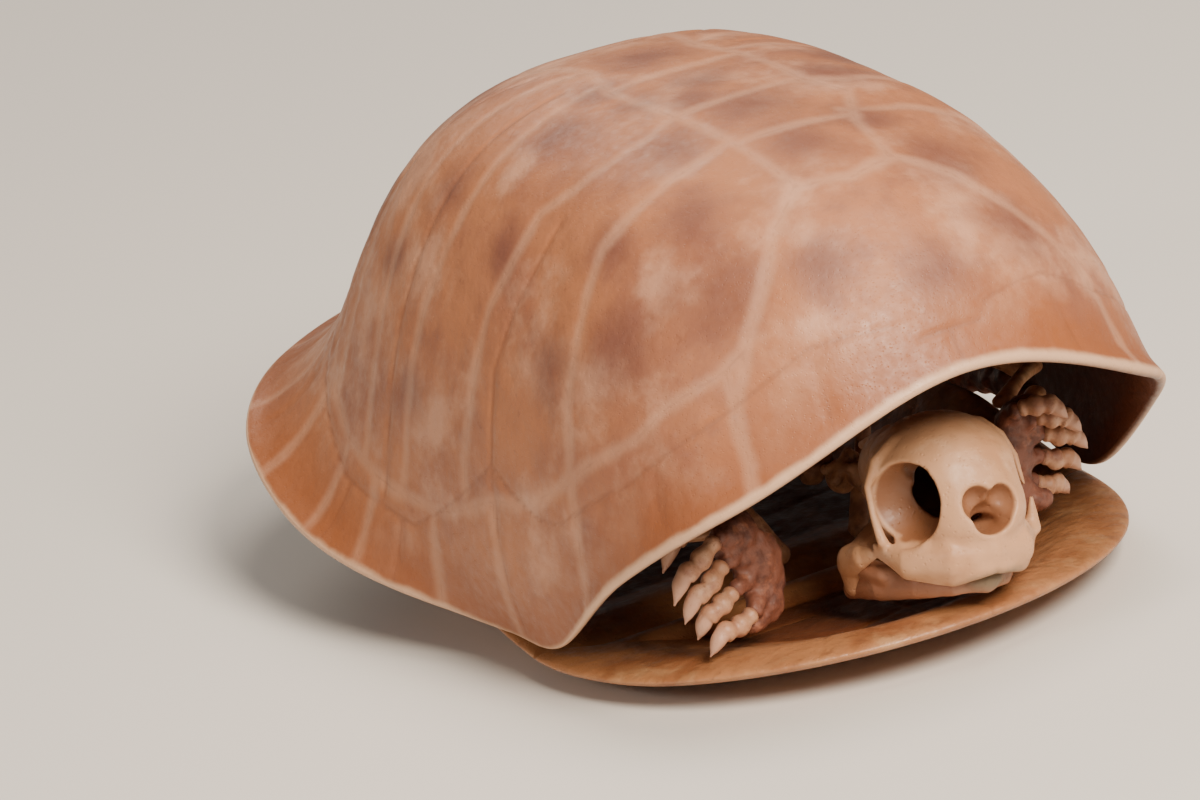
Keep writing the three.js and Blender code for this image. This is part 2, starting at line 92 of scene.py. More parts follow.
def add_node(tree: bpy.types.NodeTree, kind: str, inputs: dict, **settings) -> bpy.types.Node:
    """Adds a node with its settings and links.

    Args:
        tree: The material's node tree.
        kind: The node's type.
        inputs: Socket name or number to its value, or to the output that is linked to it.
        **settings: The node's own properties.

    Returns:
        The new node.
    """
    node = tree.nodes.new(kind)
    for name, value in settings.items():
        setattr(node, name, value)
    for name, value in inputs.items():
        if isinstance(value, Socket):
            tree.links.new(value, node.inputs[name])
        else:
            node.inputs[name].default_value = value
    return node


# Finishes


@dataclass(frozen=True)
class Cloud:
    """A tone that comes and goes over the bone in soft patches.

    size_mm is the distance from one patch to the next; the tone starts and is full at two
    values of the noise.
    """

    tone: str
    size_mm: float
    start: float
    full: float
    strength: float
    detail: float = 4.0


@dataclass(frozen=True)
class Band:
    """A tone that follows a distance in mm stored on the piece: full up to one, gone at another."""

    tone: str
    mark: str
    full: float
    gone: float
    strength: float
    wobble: float = 0.0
    wobble_mm: float = 4.0


@dataclass(frozen=True)
class Relief:
    """Unevenness of the surface: pits where pitted, else soft bumps."""

    size_mm: float
    depth_mm: float
    pitted: bool = False
    detail: float = 3.0


@dataclass(frozen=True)
class DryBone:
    """Dry cleaned bone: satin, faintly glossy where it was handled, grainy and stained."""

    name: str
    tone: str
    clouds: tuple[Cloud, ...]
    bands: tuple[Band, ...] = ()
    reliefs: tuple[Relief, ...] = (Relief(0.9, 0.05), Relief(5.0, 0.25))
    roughness: float = 0.48
    uneven: float = 0.12
    coat: float = 0.1
    grain_mm: float = 1.4

    def build(self) -> bpy.types.Material:
        """Builds the material.

        Returns:
            A material that reads Object coordinates and the marks stored on the piece.
        """
        material = bpy.data.materials.new(self.name)
        material.use_nodes = True
        tree = material.node_tree
        tree.nodes.clear()
        place = add_node(tree, "ShaderNodeTexCoord", {}).outputs["Object"]
        colour: Socket | tuple = linear(self.tone)
        for cloud in self.clouds:
            noise = add_node(
                tree, "ShaderNodeTexNoise",
                {"Vector": place, "Scale": 1 / (cloud.size_mm * MM), "Detail": cloud.detail,
                 "Roughness": 0.6},
            )
            share = add_node(
                tree, "ShaderNodeMapRange",
                {"Value": noise.outputs["Fac"], "From Min": cloud.start, "From Max": cloud.full,
                 "To Min": 0.0, "To Max": cloud.strength},
                interpolation_type="SMOOTHSTEP",
            )
            mix = add_node(
                tree, "ShaderNodeMix", {0: share.outputs["Result"], 6: colour, 7: linear(cloud.tone)},
                data_type="RGBA",
            )
            colour = mix.outputs[2]
        for band in self.bands:
            mark = add_node(tree, "ShaderNodeAttribute", {}, attribute_name=band.mark)
            noise = add_node(
                tree, "ShaderNodeTexNoise",
                {"Vector": place, "Scale": 1 / (band.wobble_mm * MM), "Detail": 3.0},
            )
            moved = add_node(
                tree, "ShaderNodeMath",
                {0: noise.outputs["Fac"], 1: 2 * band.wobble, 2: mark.outputs["Fac"]},
                operation="MULTIPLY_ADD",
            )
            share = add_node(
                tree, "ShaderNodeMapRange",
                {"Value": moved.outputs["Value"], "From Min": band.full + band.wobble,
                 "From Max": band.gone + band.wobble, "To Min": band.strength, "To Max": 0.0},
                interpolation_type="SMOOTHSTEP",
            )
            mix = add_node(
                tree, "ShaderNodeMix", {0: share.outputs["Result"], 6: colour, 7: linear(band.tone)},
                data_type="RGBA",
            )
            colour = mix.outputs[2]
        height: Socket | None = None
        for relief in self.reliefs:
            scale = 1 / (relief.size_mm * MM)
            if relief.pitted:
                texture = add_node(
                    tree, "ShaderNodeTexVoronoi", {"Vector": place, "Scale": scale, "Randomness": 1.0}
                )
                value = add_node(
                    tree, "ShaderNodeMapRange",
                    {"Value": texture.outputs["Distance"], "From Min": 0.05, "From Max": 0.3,
                     "To Min": -relief.depth_mm, "To Max": 0.0},
                    interpolation_type="SMOOTHSTEP",
                ).outputs["Result"]
            else:
                texture = add_node(
                    tree, "ShaderNodeTexNoise", {"Vector": place, "Scale": scale, "Detail": relief.detail}
                )
                value = add_node(
                    tree, "ShaderNodeMath", {0: texture.outputs["Fac"], 1: relief.depth_mm},
                    operation="MULTIPLY",
                ).outputs["Value"]
            if height is not None:
                both = add_node(tree, "ShaderNodeMath", {0: height, 1: value}, operation="ADD")
                value = both.outputs["Value"]
            height = value
        bump = add_node(tree, "ShaderNodeBump", {"Height": height, "Distance": MM, "Strength": 1.0})
        grain = add_node(
            tree, "ShaderNodeTexNoise", {"Vector": place, "Scale": 1 / (self.grain_mm * MM), "Detail": 5.0}
        )
        rough = add_node(
            tree, "ShaderNodeMapRange",
            {"Value": grain.outputs["Fac"], "From Min": 0.3, "From Max": 0.7,
             "To Min": self.roughness - self.uneven, "To Max": self.roughness + self.uneven},
        )
        shader = add_node(
            tree, "ShaderNodeBsdfPrincipled",
            {"Base Color": colour, "Roughness": rough.outputs["Result"], "Normal": bump.outputs["Normal"],
             "IOR": 1.5, "Coat Weight": self.coat, "Coat Roughness": 0.35},
        )
        add_node(tree, "ShaderNodeOutputMaterial", {"Surface": shader.outputs["BSDF"]})
        return material


# Surfaces


@dataclass
class Surface:
    """Points in mm, the faces between them, and the values stored on the points."""

    points: np.ndarray
    quads: np.ndarray
    triangles: np.ndarray = field(default_factory=lambda: np.zeros((0, 3), int))
    marks: dict[str, np.ndarray] = field(default_factory=dict)

    def outward(self) -> "Surface":
        """Returns the surface with its faces out: where the volume under them is negative they are turned."""
        corners = np.concatenate([self.quads[:, [0, 1, 2]], self.quads[:, [0, 2, 3]], self.triangles])
        a, b, c = (self.points[corners[:, i]] for i in range(3))
        if np.einsum("ij,ij->i", a, np.cross(b, c)).sum() < 0:
            self.quads = self.quads[:, ::-1]
            self.triangles = self.triangles[:, ::-1]
        return self

    @staticmethod
    def joined(surfaces: Sequence["Surface"]) -> "Surface":
        """Returns several surfaces as one."""
        starts = np.cumsum([0] + [len(s.points) for s in surfaces[:-1]])
        return Surface(
            np.concatenate([s.points for s in surfaces]),
            np.concatenate([s.quads + k for s, k in zip(surfaces, starts)]),
            np.concatenate([s.triangles + k for s, k in zip(surfaces, starts)]),
            {m: np.concatenate([s.marks[m] for s in surfaces]) for m in surfaces[0].marks},
        )


def closed_grid(rows: np.ndarray, first: np.ndarray, last: np.ndarray, marks: dict | None = None) -> Surface:
    """Closes a grid that runs round: every row is a ring, and a point closes each end.

    Args:
        rows: Points, of shape (rings, columns, 3).
        first: The point before the first ring.
        last: The point after the last ring.
        marks: Name to values, of shape (rings, columns).

    Returns:
        The closed surface.
    """
    rings, columns = rows.shape[:2]
    ids = 1 + np.arange(rings * columns).reshape(rings, columns)
    after = np.roll(ids, -1, axis=1)
    quads = np.stack([ids[:-1], after[:-1], after[1:], ids[1:]], -1).reshape(-1, 4)
    start = np.stack([np.zeros(columns, int), after[0], ids[0]], -1)
    end = np.stack([np.full(columns, rings * columns + 1), ids[-1], after[-1]], -1)
    points = np.concatenate([[first], rows.reshape(-1, 3), [last]])
    stored = {
        name: np.concatenate([[v[0].mean()], v.ravel(), [v[-1].mean()]]) for name, v in (marks or {}).items()
    }
    return Surface(points, quads, np.concatenate([start, end]), stored).outward()


def add_piece(name: str, surface: Surface, material: bpy.types.Material, slot: Slot, *nodes: str) -> int:
    """Adds a piece, lets it ride on the skeleton and stand for CAD nodes.

    Args:
        name: The piece's name.
        surface: Its points in mm, in the frame of the rim's centre.
        material: Its finish.
        slot: The record's slot for the finish; not used.
        *nodes: CAD nodes that it stands for.

    Returns:
        How many triangles the piece has.
    """
    mesh = bpy.data.meshes.new(name)
    mesh.vertices.add(len(surface.points))
    mesh.vertices.foreach_set("co", ((surface.points - (0, MIDDLE_Y, 0)) * MM).astype(np.float32).ravel())
    loops = np.concatenate([surface.quads.ravel(), surface.triangles.ravel()])
    mesh.loops.add(len(loops))
    mesh.loops.foreach_set("vertex_index", loops.astype(np.int32))
    sizes = np.concatenate([np.full(len(surface.quads), 4), np.full(len(surface.triangles), 3)])
    mesh.polygons.add(len(sizes))
    mesh.polygons.foreach_set("loop_start", (np.cumsum(sizes) - sizes).astype(np.int32))
    mesh.polygons.foreach_set("use_smooth", np.ones(len(sizes), bool))
    for mark, values in surface.marks.items():
        stored = mesh.attributes.new(mark, "FLOAT", "POINT")
        stored.data.foreach_set("value", values.astype(np.float32))
    mesh.update(calc_edges=True)
    mesh.validate()
    mesh.materials.append(material)
    piece = bpy.data.objects.new(name, mesh)
    bpy.context.scene.collection.objects.link(piece)
    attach(piece, "root")
    if nodes:
        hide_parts(*nodes)
    return 2 * len(surface.quads) + len(surface.triangles)


def ripple(points: np.ndarray, size_mm: float, seed: int) -> np.ndarray:
    """Soft unevenness from -1 to 1: the mean of seven sine waves that run in seeded directions.

    Args:
        points: Points in mm.
        size_mm: Length of the waves.
        seed: Seed of the directions.

    Returns:
        One value for each point.
    """
    chance = np.random.default_rng(seed)
    ways = chance.normal(size=(7, 3))
    ways *= 2 * math.pi / size_mm / np.linalg.norm(ways, axis=1, keepdims=True)
    return np.sin(points @ ways.T + chance.uniform(0, 2 * math.pi, 7)).mean(-1) * 1.6


def smooth_rows(rows: np.ndarray, place: np.ndarray, column: int) -> np.ndarray:
    """Reads a smooth curve through rows of [place, values...].

    Each span is the cubic whose slopes at its ends are those of the chord between its
    neighbours, and level at the first and the last row.

    Args:
        rows: The rows, by place.
        place: Where the curve is read.
        column: Which value is read.

    Returns:
        The values.
    """
    x, y = rows[:, 0], rows[:, column]
    slope = np.zeros(len(x))
    slope[1:-1] = (y[2:] - y[:-2]) / (x[2:] - x[:-2])
    i = np.clip(np.searchsorted(x, place, side="right") - 1, 0, len(x) - 2)
    span = x[i + 1] - x[i]
    f = np.clip((place - x[i]) / span, 0, 1)
    return (
        y[i] * (2 * f**3 - 3 * f**2 + 1) + y[i + 1] * (3 * f**2 - 2 * f**3)
        + slope[i] * span * (f**3 - 2 * f**2 + f) + slope[i + 1] * span * (f**3 - f**2)
    )


def smoothstep(value: np.ndarray, low: float, high: float) -> np.ndarray:
    """Returns 0 below low, 1 above high and a smooth step between."""
    f = np.clip((value - low) / (high - low), 0, 1)
    return f * f * (3 - 2 * f)


def curve_points(path: Path, shares: np.ndarray) -> np.ndarray:
    """Points of a smooth curve through a path, by share of its length.

    Each coordinate is the cubic of smooth_rows over the length of the chords, with free ends.

    Args:
        path: The points that the curve passes.
        shares: Shares of the length, from 0 to 1.

    Returns:
        One point for each share.
    """
    spots = np.array(path, float)
    spots = np.concatenate([[2 * spots[0] - spots[1]], spots, [2 * spots[-1] - spots[-2]]])
    length = np.concatenate([[0], np.cumsum(np.linalg.norm(np.diff(spots, axis=0), axis=1))])
    rows = np.column_stack([length, spots])
    at = length[1] + shares * (length[-2] - length[1])
    return np.stack([smooth_rows(rows, at, i) for i in (1, 2, 3)], -1)


def sweep(path: Path, girths: Girths, steps: int = 44, sides: int = 22, lobes: float = 0.0,
          aside: Point | None = None, rough: float = 0.03, seed: int = 1) -> Surface:
    """Carries an oval along a path, with a rounded cap at each end.

    A ring's half width and half depth are read from the girths at its share of the length; its
    first direction is square to the path and to the direction aside. Lobes pinch the ring into
    two knuckles towards the ends, and a soft ripple makes it uneven.

    Args:
        path: The points that the bone's middle passes.
        girths: Rows of share of length, half width and half depth.
        steps: Rings along the path.
        sides: Points round a ring.
        lobes: Share by which the knuckles stand out at the ends.
        aside: Direction that the half depth is square to.
        rough: Height of the ripple in mm.
        seed: Seed of the ripple.

    Returns:
        The closed surface, with its share of length as the mark "along".
    """
    table = np.array(girths, float)
    swing = (np.arange(steps) + 0.5) / steps * math.pi
    share = 0.5 - 0.5 * np.cos(swing)
    spots = curve_points(path, share)
    length = np.linalg.norm(np.diff(np.array(path, float), axis=0), axis=1).sum()
    tangent = np.gradient(spots, share, axis=0)
    tangent /= np.linalg.norm(tangent, axis=1, keepdims=True)
    if aside is None:
        aside = tuple(np.eye(3)[np.argmin(np.abs(tangent).mean(0))])
    first = np.cross(tangent, aside)
    first /= np.linalg.norm(first, axis=1, keepdims=True)
    second = np.cross(tangent, first)
    wide, deep = smooth_rows(table, share, 1), smooth_rows(table, share, 2)
    near = np.minimum(share, 1 - share) * length / np.maximum(np.minimum(wide, deep), 0.05)
    cap = np.sqrt(1 - (1 - np.clip(near, 0, 1)) ** 2)
    angle = np.arange(sides) / sides * 2 * math.pi
    pinch = 1 + lobes * np.cos(2 * angle) * (np.abs(2 * share[:, None] - 1) ** 6)
    out = (
        np.cos(angle)[:, None] * (wide * cap)[:, None, None] * first[:, None]
        + np.sin(angle)[:, None] * (deep * cap)[:, None, None] * second[:, None]
    ) * pinch[..., None]
    rows = spots[:, None] + out
    size = np.linalg.norm(out, axis=-1, keepdims=True)
    rows = rows + out / np.maximum(size, 1e-6) * (rough * ripple(rows, 2.6, seed) * cap[:, None])[..., None]
    ends = curve_points(path, np.array([0.0, 1.0]))
    along = np.repeat(share[:, None], sides, axis=1)
    return closed_grid(rows, ends[0], ends[1], {"along": along})


def ball_distance(points: np.ndarray, centre: Point, radii: Point) -> np.ndarray:
    """Returns about how far points lie outside an oval ball, in mm.

    It is the length of the point in units of the radii, less 1, over its slope.
    """
    scaled = (points - centre) / radii
    size = np.linalg.norm(scaled, axis=-1)
    return size * (size - 1) / np.maximum(np.linalg.norm(scaled / radii, axis=-1), 1e-6)


def rod_distance(points: np.ndarray, path: Path, radii: Sequence[float],
                 squash: Point = (1, 1, 1)) -> np.ndarray:
    """How far points lie outside a bent rod: the least distance to its straight parts, less the radius there.

    Args:
        points: Points in mm.
        path: Corners of the rod's middle line.
        radii: Radius at each corner.
        squash: Thickness in X, Y and Z as a share of the radius.

    Returns:
        Distances in mm, negative inside.
    """
    spots = np.array(path, float)
    best = np.full(len(points), np.inf)
    for a, b, ra, rb in zip(spots[:-1], spots[1:], radii[:-1], radii[1:]):
        along = np.clip((points - a) @ (b - a) / max((b - a) @ (b - a), 1e-9), 0, 1)
        off = (points - a - along[:, None] * (b - a)) / squash
        best = np.minimum(best, np.linalg.norm(off, axis=-1) - (ra + (rb - ra) * along))
    return best * min(squash)


def melt(a: np.ndarray, b: np.ndarray, width: float) -> np.ndarray:
    """Returns the union of two distance fields, rounded over a width where they meet."""
    h = np.clip(0.5 + 0.5 * (b - a) / width, 0, 1)
    return b * (1 - h) + a * h - width * h * (1 - h)


def carve(a: np.ndarray, b: np.ndarray, width: float) -> np.ndarray:
    """Returns the first distance field with the second cut out of it, the edge rounded over a width."""
    return -melt(-a, b, width)


@dataclass(frozen=True)
class Rod:
    """A bent rod of bone."""

    path: Path
    radii: Sequence[float]
    squash: Point = (1, 1, 1)

    def distance(self, points: np.ndarray) -> np.ndarray:
        """Returns how far points lie outside the rod."""
        return rod_distance(points, self.path, self.radii, self.squash)


@dataclass(frozen=True)
class Ball:
    """An oval ball of bone, or of the air that hollows it."""

    centre: Point
    radii: Point

    def distance(self, points: np.ndarray) -> np.ndarray:
        """Returns how far points lie outside the ball."""
        return ball_distance(points, self.centre, self.radii)


@dataclass(frozen=True)
class Grown:
    """A bone grown from rods and balls that melt together, less balls cut out of it.

    Such a bone has holes and branches, which no grid of two parameters can follow. Its surface
    is where a distance field is zero, found on a grid of cells: each cell that the surface
    crosses has a point at the mean of its crossings, each crossed edge has a face between the
    four cells round it, and every point is then moved down the field's slope onto the surface.
    """

    forms: Sequence[Rod | Ball]
    holes: Sequence[Rod | Ball] = ()
    later: Sequence[Rod | Ball] = ()
    width: float = 0.8
    cell: float = 0.3
    rough: float = 0.06
    rough_mm: float = 2.4
    seed: int = 3

    def distance(self, points: np.ndarray) -> np.ndarray:
        """Returns how far points lie outside the bone."""
        made = self.forms[0].distance(points)
        for form in self.forms[1:]:
            made = melt(made, form.distance(points), self.width)
        for hole in self.holes:
            made = carve(made, hole.distance(points), self.width * 0.6)
        for form in self.later:
            made = melt(made, form.distance(points), self.width)
        return made + self.rough * ripple(points, self.rough_mm, self.seed)

    def limits(self) -> tuple[np.ndarray, np.ndarray]:
        """Returns the lowest and the highest corner that the bone can reach."""
        lows, highs = [], []
        for form in (*self.forms, *self.later):
            if isinstance(form, Rod):
                spots, reach = np.array(form.path, float), max(form.radii)
            else:
                spots, reach = np.array([form.centre], float), np.array(form.radii)
            lows.append(spots.min(0) - reach)
            highs.append(spots.max(0) + reach)
        return np.min(lows, axis=0) - 3 * self.cell, np.max(highs, axis=0) + 3 * self.cell

    def surface(self) -> Surface:
        """Finds the bone's surface.

        Returns:
            The closed surface.
        """
        low, high = self.limits()
        axes = [np.arange(a, b, self.cell) for a, b in zip(low, high)]
        grid = np.stack(np.meshgrid(*axes, indexing="ij"), -1)
        shape = np.array(grid.shape[:3])
        value = self.distance(grid.reshape(-1, 3)).reshape(shape)
        total, count = np.zeros((*(shape - 1), 3)), np.zeros(shape - 1)
        edges = []
        for axis in range(3):
            a, b = np.moveaxis(value, axis, 0)[:-1], np.moveaxis(value, axis, 0)[1:]
            crossed = (a < 0) != (b < 0)
            share = np.where(crossed, a / np.where(crossed, a - b, 1), 0)
            spot = np.moveaxis(grid, axis, 0)[:-1] + share[..., None] * self.cell * np.eye(3)[axis]
            spot, found = spot * crossed[..., None], crossed.astype(float)
            spot, found = np.moveaxis(spot, 0, axis), np.moveaxis(found, 0, axis)
            others = [d for d in range(3) if d != axis]
            for i in (0, 1):
                for j in (0, 1):
                    window = [slice(None)] * 3
                    window[others[0]] = slice(i, shape[others[0]] - 1 + i)
                    window[others[1]] = slice(j, shape[others[1]] - 1 + j)
                    total += spot[tuple(window)]
                    count += found[tuple(window)]
            edges.append((np.argwhere(np.moveaxis(crossed, 0, axis)), np.moveaxis(a, 0, axis)))
        ids = np.full(shape - 1, -1)
        held = count > 0
        ids[held] = np.arange(held.sum())
        points = total[held] / count[held][:, None]
        quads = []
        for axis, (spots, before) in enumerate(edges):
            u, v = np.eye(3, dtype=int)[(axis + 1) % 3], np.eye(3, dtype=int)[(axis + 2) % 3]
            ring = np.stack([spots - u - v, spots - v, spots, spots - u], 1)
            face = ids[ring[..., 0], ring[..., 1], ring[..., 2]]
            inside = before[spots[:, 0], spots[:, 1], spots[:, 2]] < 0
            quads.append(np.where(inside[:, None], face, face[:, ::-1]))
        for _ in range(3):
            here, step = self.distance(points), 0.05
            slope = np.stack(
                [(self.distance(points + step * d) - self.distance(points - step * d)) / (2 * step)
                 for d in np.eye(3)],
                -1,
            )
            move = here[:, None] * slope / np.maximum((slope**2).sum(-1, keepdims=True), 0.2)
            points = points - np.clip(move, -0.4 * self.cell, 0.4 * self.cell)
        return Surface(points, np.concatenate(quads)).outward()


# Upper shell

NO_MARK = 20.0  # distance in mm where a mark has no effect
STAINS = (
    # Turn in degrees, rise, radius in mm
    (180, 0.98, 4), (0, 0.96, 3.5), (0, 0.88, 5), (-2, 0.73, 5), (-28, 0.63, 4), (-30, 0.8, 4.5),
    (18, 0.6, 5), (16, 0.75, 4), (-88, 0.93, 3), (-77, 0.84, 3.5), (-42, 0.42, 4), (-56, 0.43, 3.5),
    (-98, 0.32, 3), (-115, 0.48, 2.5), (-105, 0.65, 3), (-43, 0.59, 3), (-12, 0.42, 3.5), (2, 0.3, 4),
    (18, 0.4, 4), (-26, 0.46, 5), (-76, 0.6, 3), (-42, 0.93, 3), (-16, 0.93, 3), (40, 0.85, 4),
    (75, 0.8, 4), (60, 0.5, 4), (120, 0.7, 4), (150, 0.6, 5), (-150, 0.7, 5), (-140, 0.45, 4),
    (90, 0.4, 4), (180, 0.75, 4), (165, 0.5, 4),
)


@dataclass
class UpperShell:
    """The domed upper shell, with the back vertebrae and rib heads on its inner face."""

    top: float = 68.4
    wall: float = 2.4
    rim_wall: float = 1.5
    crown_shift: float = 6.6
    dome_side: float = 46.7
    dome_front: float = 62.4
    dome_rear: float = 55.6
    dome_power: float = 2.44
    dome_inward: tuple = (0.664, -0.05, 0.025)  # power of the drawing in: mean, by front and rear, by side
    dome_climb: tuple = (1.152, -0.036)  # power of the climb: mean, by front and rear
    flare_rise: float = 0.128
    columns: int = 440
    outer_rows: int = 140
    inner_rows: int = 46
    rim_rows: int = 9
    lowest_rise: float = 0.012  # where the outer face ends and the rounded edge starts
    groove_depth: float = 0.22
    groove_width: float = 0.55
    seam_depth: float = 0.1
    seam_width: float = 0.8
    inset: float = 0.12  # keeps the smooth shell inside the faceted one's box
    # Free edge of the shell: angle from the head in degrees, reach from the centre, height
    rim: np.ndarray = field(default_factory=lambda: np.array([
        (0, 64.7, 42.7), (30, 64.5, 30.4), (45, 57.3, 20), (60, 48, 7), (75, 43.7, 5.6),
        (90, 46.7, 7.7), (120, 61.7, 15), (135, 69.5, 21), (150, 72.8, 24.4), (180, 72.4, 27),
    ], float))
    # Seams between the rib plates of one side: turn from the head in degrees, rise from rim to crown
    rib_seams: tuple = (
        ((9, 0.64), (16, 0.55), (20, 0.43), (24, 0.33), (27, 0.19), (26, 0.08)),
        ((16, 0.79), (30, 0.73), (38, 0.67), (45, 0.6), (48, 0.52), (52, 0.37), (52, 0.24)),
        ((26, 0.89), (66, 0.68), (76, 0.51), (78, 0.41), (80, 0.29), (80, 0.23)),
        ((90, 0.95), (98, 0.47), (98, 0.19)),
        ((126, 0.92), (118, 0.6), (114, 0.41), (110, 0.18)),
        ((155, 0.87), (135, 0.6), (128, 0.4), (124, 0.2)),
        ((163, 0.76), (148, 0.6), (141, 0.42), (137, 0.3)),
        ((170, 0.66), (160, 0.5), (155, 0.42), (153, 0.33)),
    )
    # Seam between the rib plates and the margin plates, of one side
    margin_seam: tuple = (
        (24, 0.32), (28, 0.29), (35, 0.27), (40, 0.24), (45, 0.24), (52, 0.25), (64, 0.25), (72, 0.24),
        (87, 0.18), (102, 0.16), (116, 0.17), (126, 0.2), (138, 0.28), (152, 0.33), (166, 0.36), (180, 0.37),
    )
    margin_turns: tuple = (27, 52, 72, 90, 106, 116, 128, 140, 153, 167)
    # Seams along the back, seen from above: x and y in mm
    back_seams: tuple = (
        ((-8, 34), (-10, 24), (-8, 11), (-10, 2), (-9, -14), (-8, -26), (-7, -40), (0, -42)),
        ((8, 34), (10, 24), (8, 11), (10, 2), (10, -13), (13, -20), (8, -30), (7, -40), (0, -42)),
        ((-10, 24), (10, 24)), ((-10, 2), (10, 2)), ((-9, -14), (10, -13)), ((-8, -27), (9, -28)),
    )
    # Grooves of the horny scutes that the shell once carried
    scute_grooves: tuple = (
        ((58, 0.67), (68, 0.52), (72, 0.42), (72, 0.29)), ((72, 0.29), (70, 0.1), (69, 0.0)),
        ((17, 0.26), (12, 0.24), (6, 0.2), (4, 0.14), (0, 0.14)), ((0, 0.14), (0, 0.0)),
        ((17, 0.26), (30, 0.2), (42, 0.17), (56, 0.2), (72, 0.29), (95, 0.13), (114, 0.12), (130, 0.17),
         (150, 0.26), (180, 0.3)),
        ((106, 0.9), (106, 0.5), (103, 0.14)), ((140, 0.86), (134, 0.5), (131, 0.18)),
        ((38, 0.17), (37, 0.0)), ((17, 0.26), (16, 0.0)), ((98, 0.13), (98, 0.0)), ((112, 0.12), (112, 0.0)),
        ((134, 0.19), (134, 0.0)), ((147, 0.25), (147, 0.0)), ((160, 0.28), (160, 0.0)),
        ((180, 0.3), (180, 0.0)),
    )
    finish: DryBone = DryBone(
        # Shell bone: satin, pinkish tan with mauve-brown clouds, pale where the plates meet, with painted
        # shade on the inner face
        name="shell_bone_satin",
        tone="#a76b47",
        clouds=(
            Cloud("#7a4a3d", 24, 0.44, 0.66, 0.5, 5.0),
            Cloud("#77483a", 9, 0.52, 0.74, 0.45, 6.0),
            Cloud("#c8977a", 13, 0.47, 0.69, 0.62, 5.0),
            Cloud("#8c583c", 5, 0.5, 0.7, 0.3, 6.0),
            Cloud("#5f3526", 1.6, 0.66, 0.74, 0.25, 4.0),
        ),
        bands=(
            Band("#623a33", "stain", 0.0, 2.2, 0.66, 0.9, 7.0),
            Band("#8a4d27", "rim", 3.0, 14.0, 0.78, 3.0, 9.0),
            Band("#c6977a", "suture", 0.0, 1.7, 0.4, 0.9, 7.0),
            Band("#6e422e", "suture", 0.0, 0.3, 0.2, 0.25, 2.0),
            Band("#6a3d28", "groove", 0.05, 0.5, 0.26, 0.3, 3.0),
            Band("#d6b08f", "rim", 0.4, 1.6, 0.8, 0.5, 4.0),
            # painted shade: the inner face and the inside of the rounded edge are darkened to a near
            # black-brown
            Band("#4a2010", "depth", -0.9, -0.1, 0.9, 0.1, 5.0),
        ),
        reliefs=(Relief(0.5, 0.03, True), Relief(0.9, 0.06), Relief(6.0, 0.3)),
        roughness=0.5,
        uneven=0.12,
        coat=0.05,
    )
    stains: tuple = STAINS  # dark patches

    def face(self, turn: np.ndarray, rise: np.ndarray) -> np.ndarray:
        """Points of the outer face.

        In plan each level is a superellipse, shorter at the tail, that flares out to the rim's
        reach by an exponential near the edge; going up it draws in as a power of the cosine of
        the rise and climbs as a power of its sine, and the centre moves back to the crown.

        Args:
            turn: Turn from the head in radians.
            rise: 0 at the free edge, 1 at the crown.

        Returns:
            Points in mm.
        """
        ahead, across = np.cos(turn), np.sin(turn)
        angle = np.degrees(np.arccos(np.clip(ahead, -1, 1)))
        reach = smooth_rows(self.rim, angle, 1) - self.inset
        edge = smooth_rows(self.rim, angle, 2)
        length = np.where(ahead > 0, self.dome_front, self.dome_rear)
        power = self.dome_power
        foot = (np.abs(across / self.dome_side) ** power + np.abs(ahead / length) ** power) ** (-1 / power)
        lift = rise * math.pi / 2
        narrow, lean, oval = self.dome_inward
        inward = np.maximum(np.cos(lift), 0) ** (narrow + lean * ahead + oval * np.cos(2 * turn))
        height = np.sin(lift) ** (self.dome_climb[0] + self.dome_climb[1] * ahead)
        out = (foot + (reach - foot) * np.exp(-height / self.flare_rise)) * inward
        y = -out * ahead + self.crown_shift * (1 - out / reach)
        return np.stack([out * across, y, edge + (self.top - edge) * height], -1)

    def slopes(self, turn: np.ndarray, rise: np.ndarray) -> tuple[np.ndarray, np.ndarray]:
        """Returns the outer face's unit normal, and its unit direction towards the crown."""
        step = 1e-4
        along = self.face(turn + step, rise) - self.face(turn - step, rise)
        up = self.face(turn, np.minimum(rise + step, 1)) - self.face(turn, np.maximum(rise - step, 0))
        normal = np.cross(along, up)
        return (
            normal / np.maximum(np.linalg.norm(normal, axis=-1, keepdims=True), 1e-12),
            up / np.maximum(np.linalg.norm(up, axis=-1, keepdims=True), 1e-12),
        )

    def even_rises(self, rows: int, lowest: float) -> np.ndarray:
        """Returns rises evenly spaced along the shell's profile, from crown to lowest, less the crown."""
        fine = 1 - np.linspace(0, 1, 1500) ** 1.6 * (1 - lowest)
        gone = np.zeros(len(fine))
        for turn in (0.2, 1.1, 2.0, 2.9):
            spots = self.face(np.full(len(fine), turn), fine)
            gone[1:] += np.cumsum(np.linalg.norm(np.diff(spots, axis=0), axis=1))
        return np.interp(np.arange(1, rows + 1) / rows * gone[-1], gone, fine)

    def lines(self, seams: Sequence) -> np.ndarray:
        """Returns the straight parts of lines on the face, for both sides.

        Args:
            seams: Lines by turn in degrees and rise.

        Returns:
            The parts' ends, of shape (parts, 2, 3).
        """
        parts = []
        for seam in seams:
            seam = np.array(seam, float)
            at = np.linspace(0, len(seam) - 1, 4 * (len(seam) - 1) + 1)
            turn = np.radians(np.interp(at, np.arange(len(seam)), seam[:, 0]))
            rise = np.interp(at, np.arange(len(seam)), seam[:, 1])
            for side in (-1, 1):
                spots = self.face(side * turn, rise)
                parts.append(np.stack([spots[:-1], spots[1:]], 1))
        return np.concatenate(parts)

    @staticmethod
    def nearest(points: np.ndarray, parts: np.ndarray) -> np.ndarray:
        """Returns the distance from each point to the nearest straight part."""
        best = np.full(len(points), 99.0)
        for a, b in parts:
            way = b - a
            along = np.clip((points - a) @ way / max(way @ way, 1e-9), 0, 1)
            best = np.minimum(best, np.linalg.norm(points - a - along[:, None] * way, axis=1))
        return best

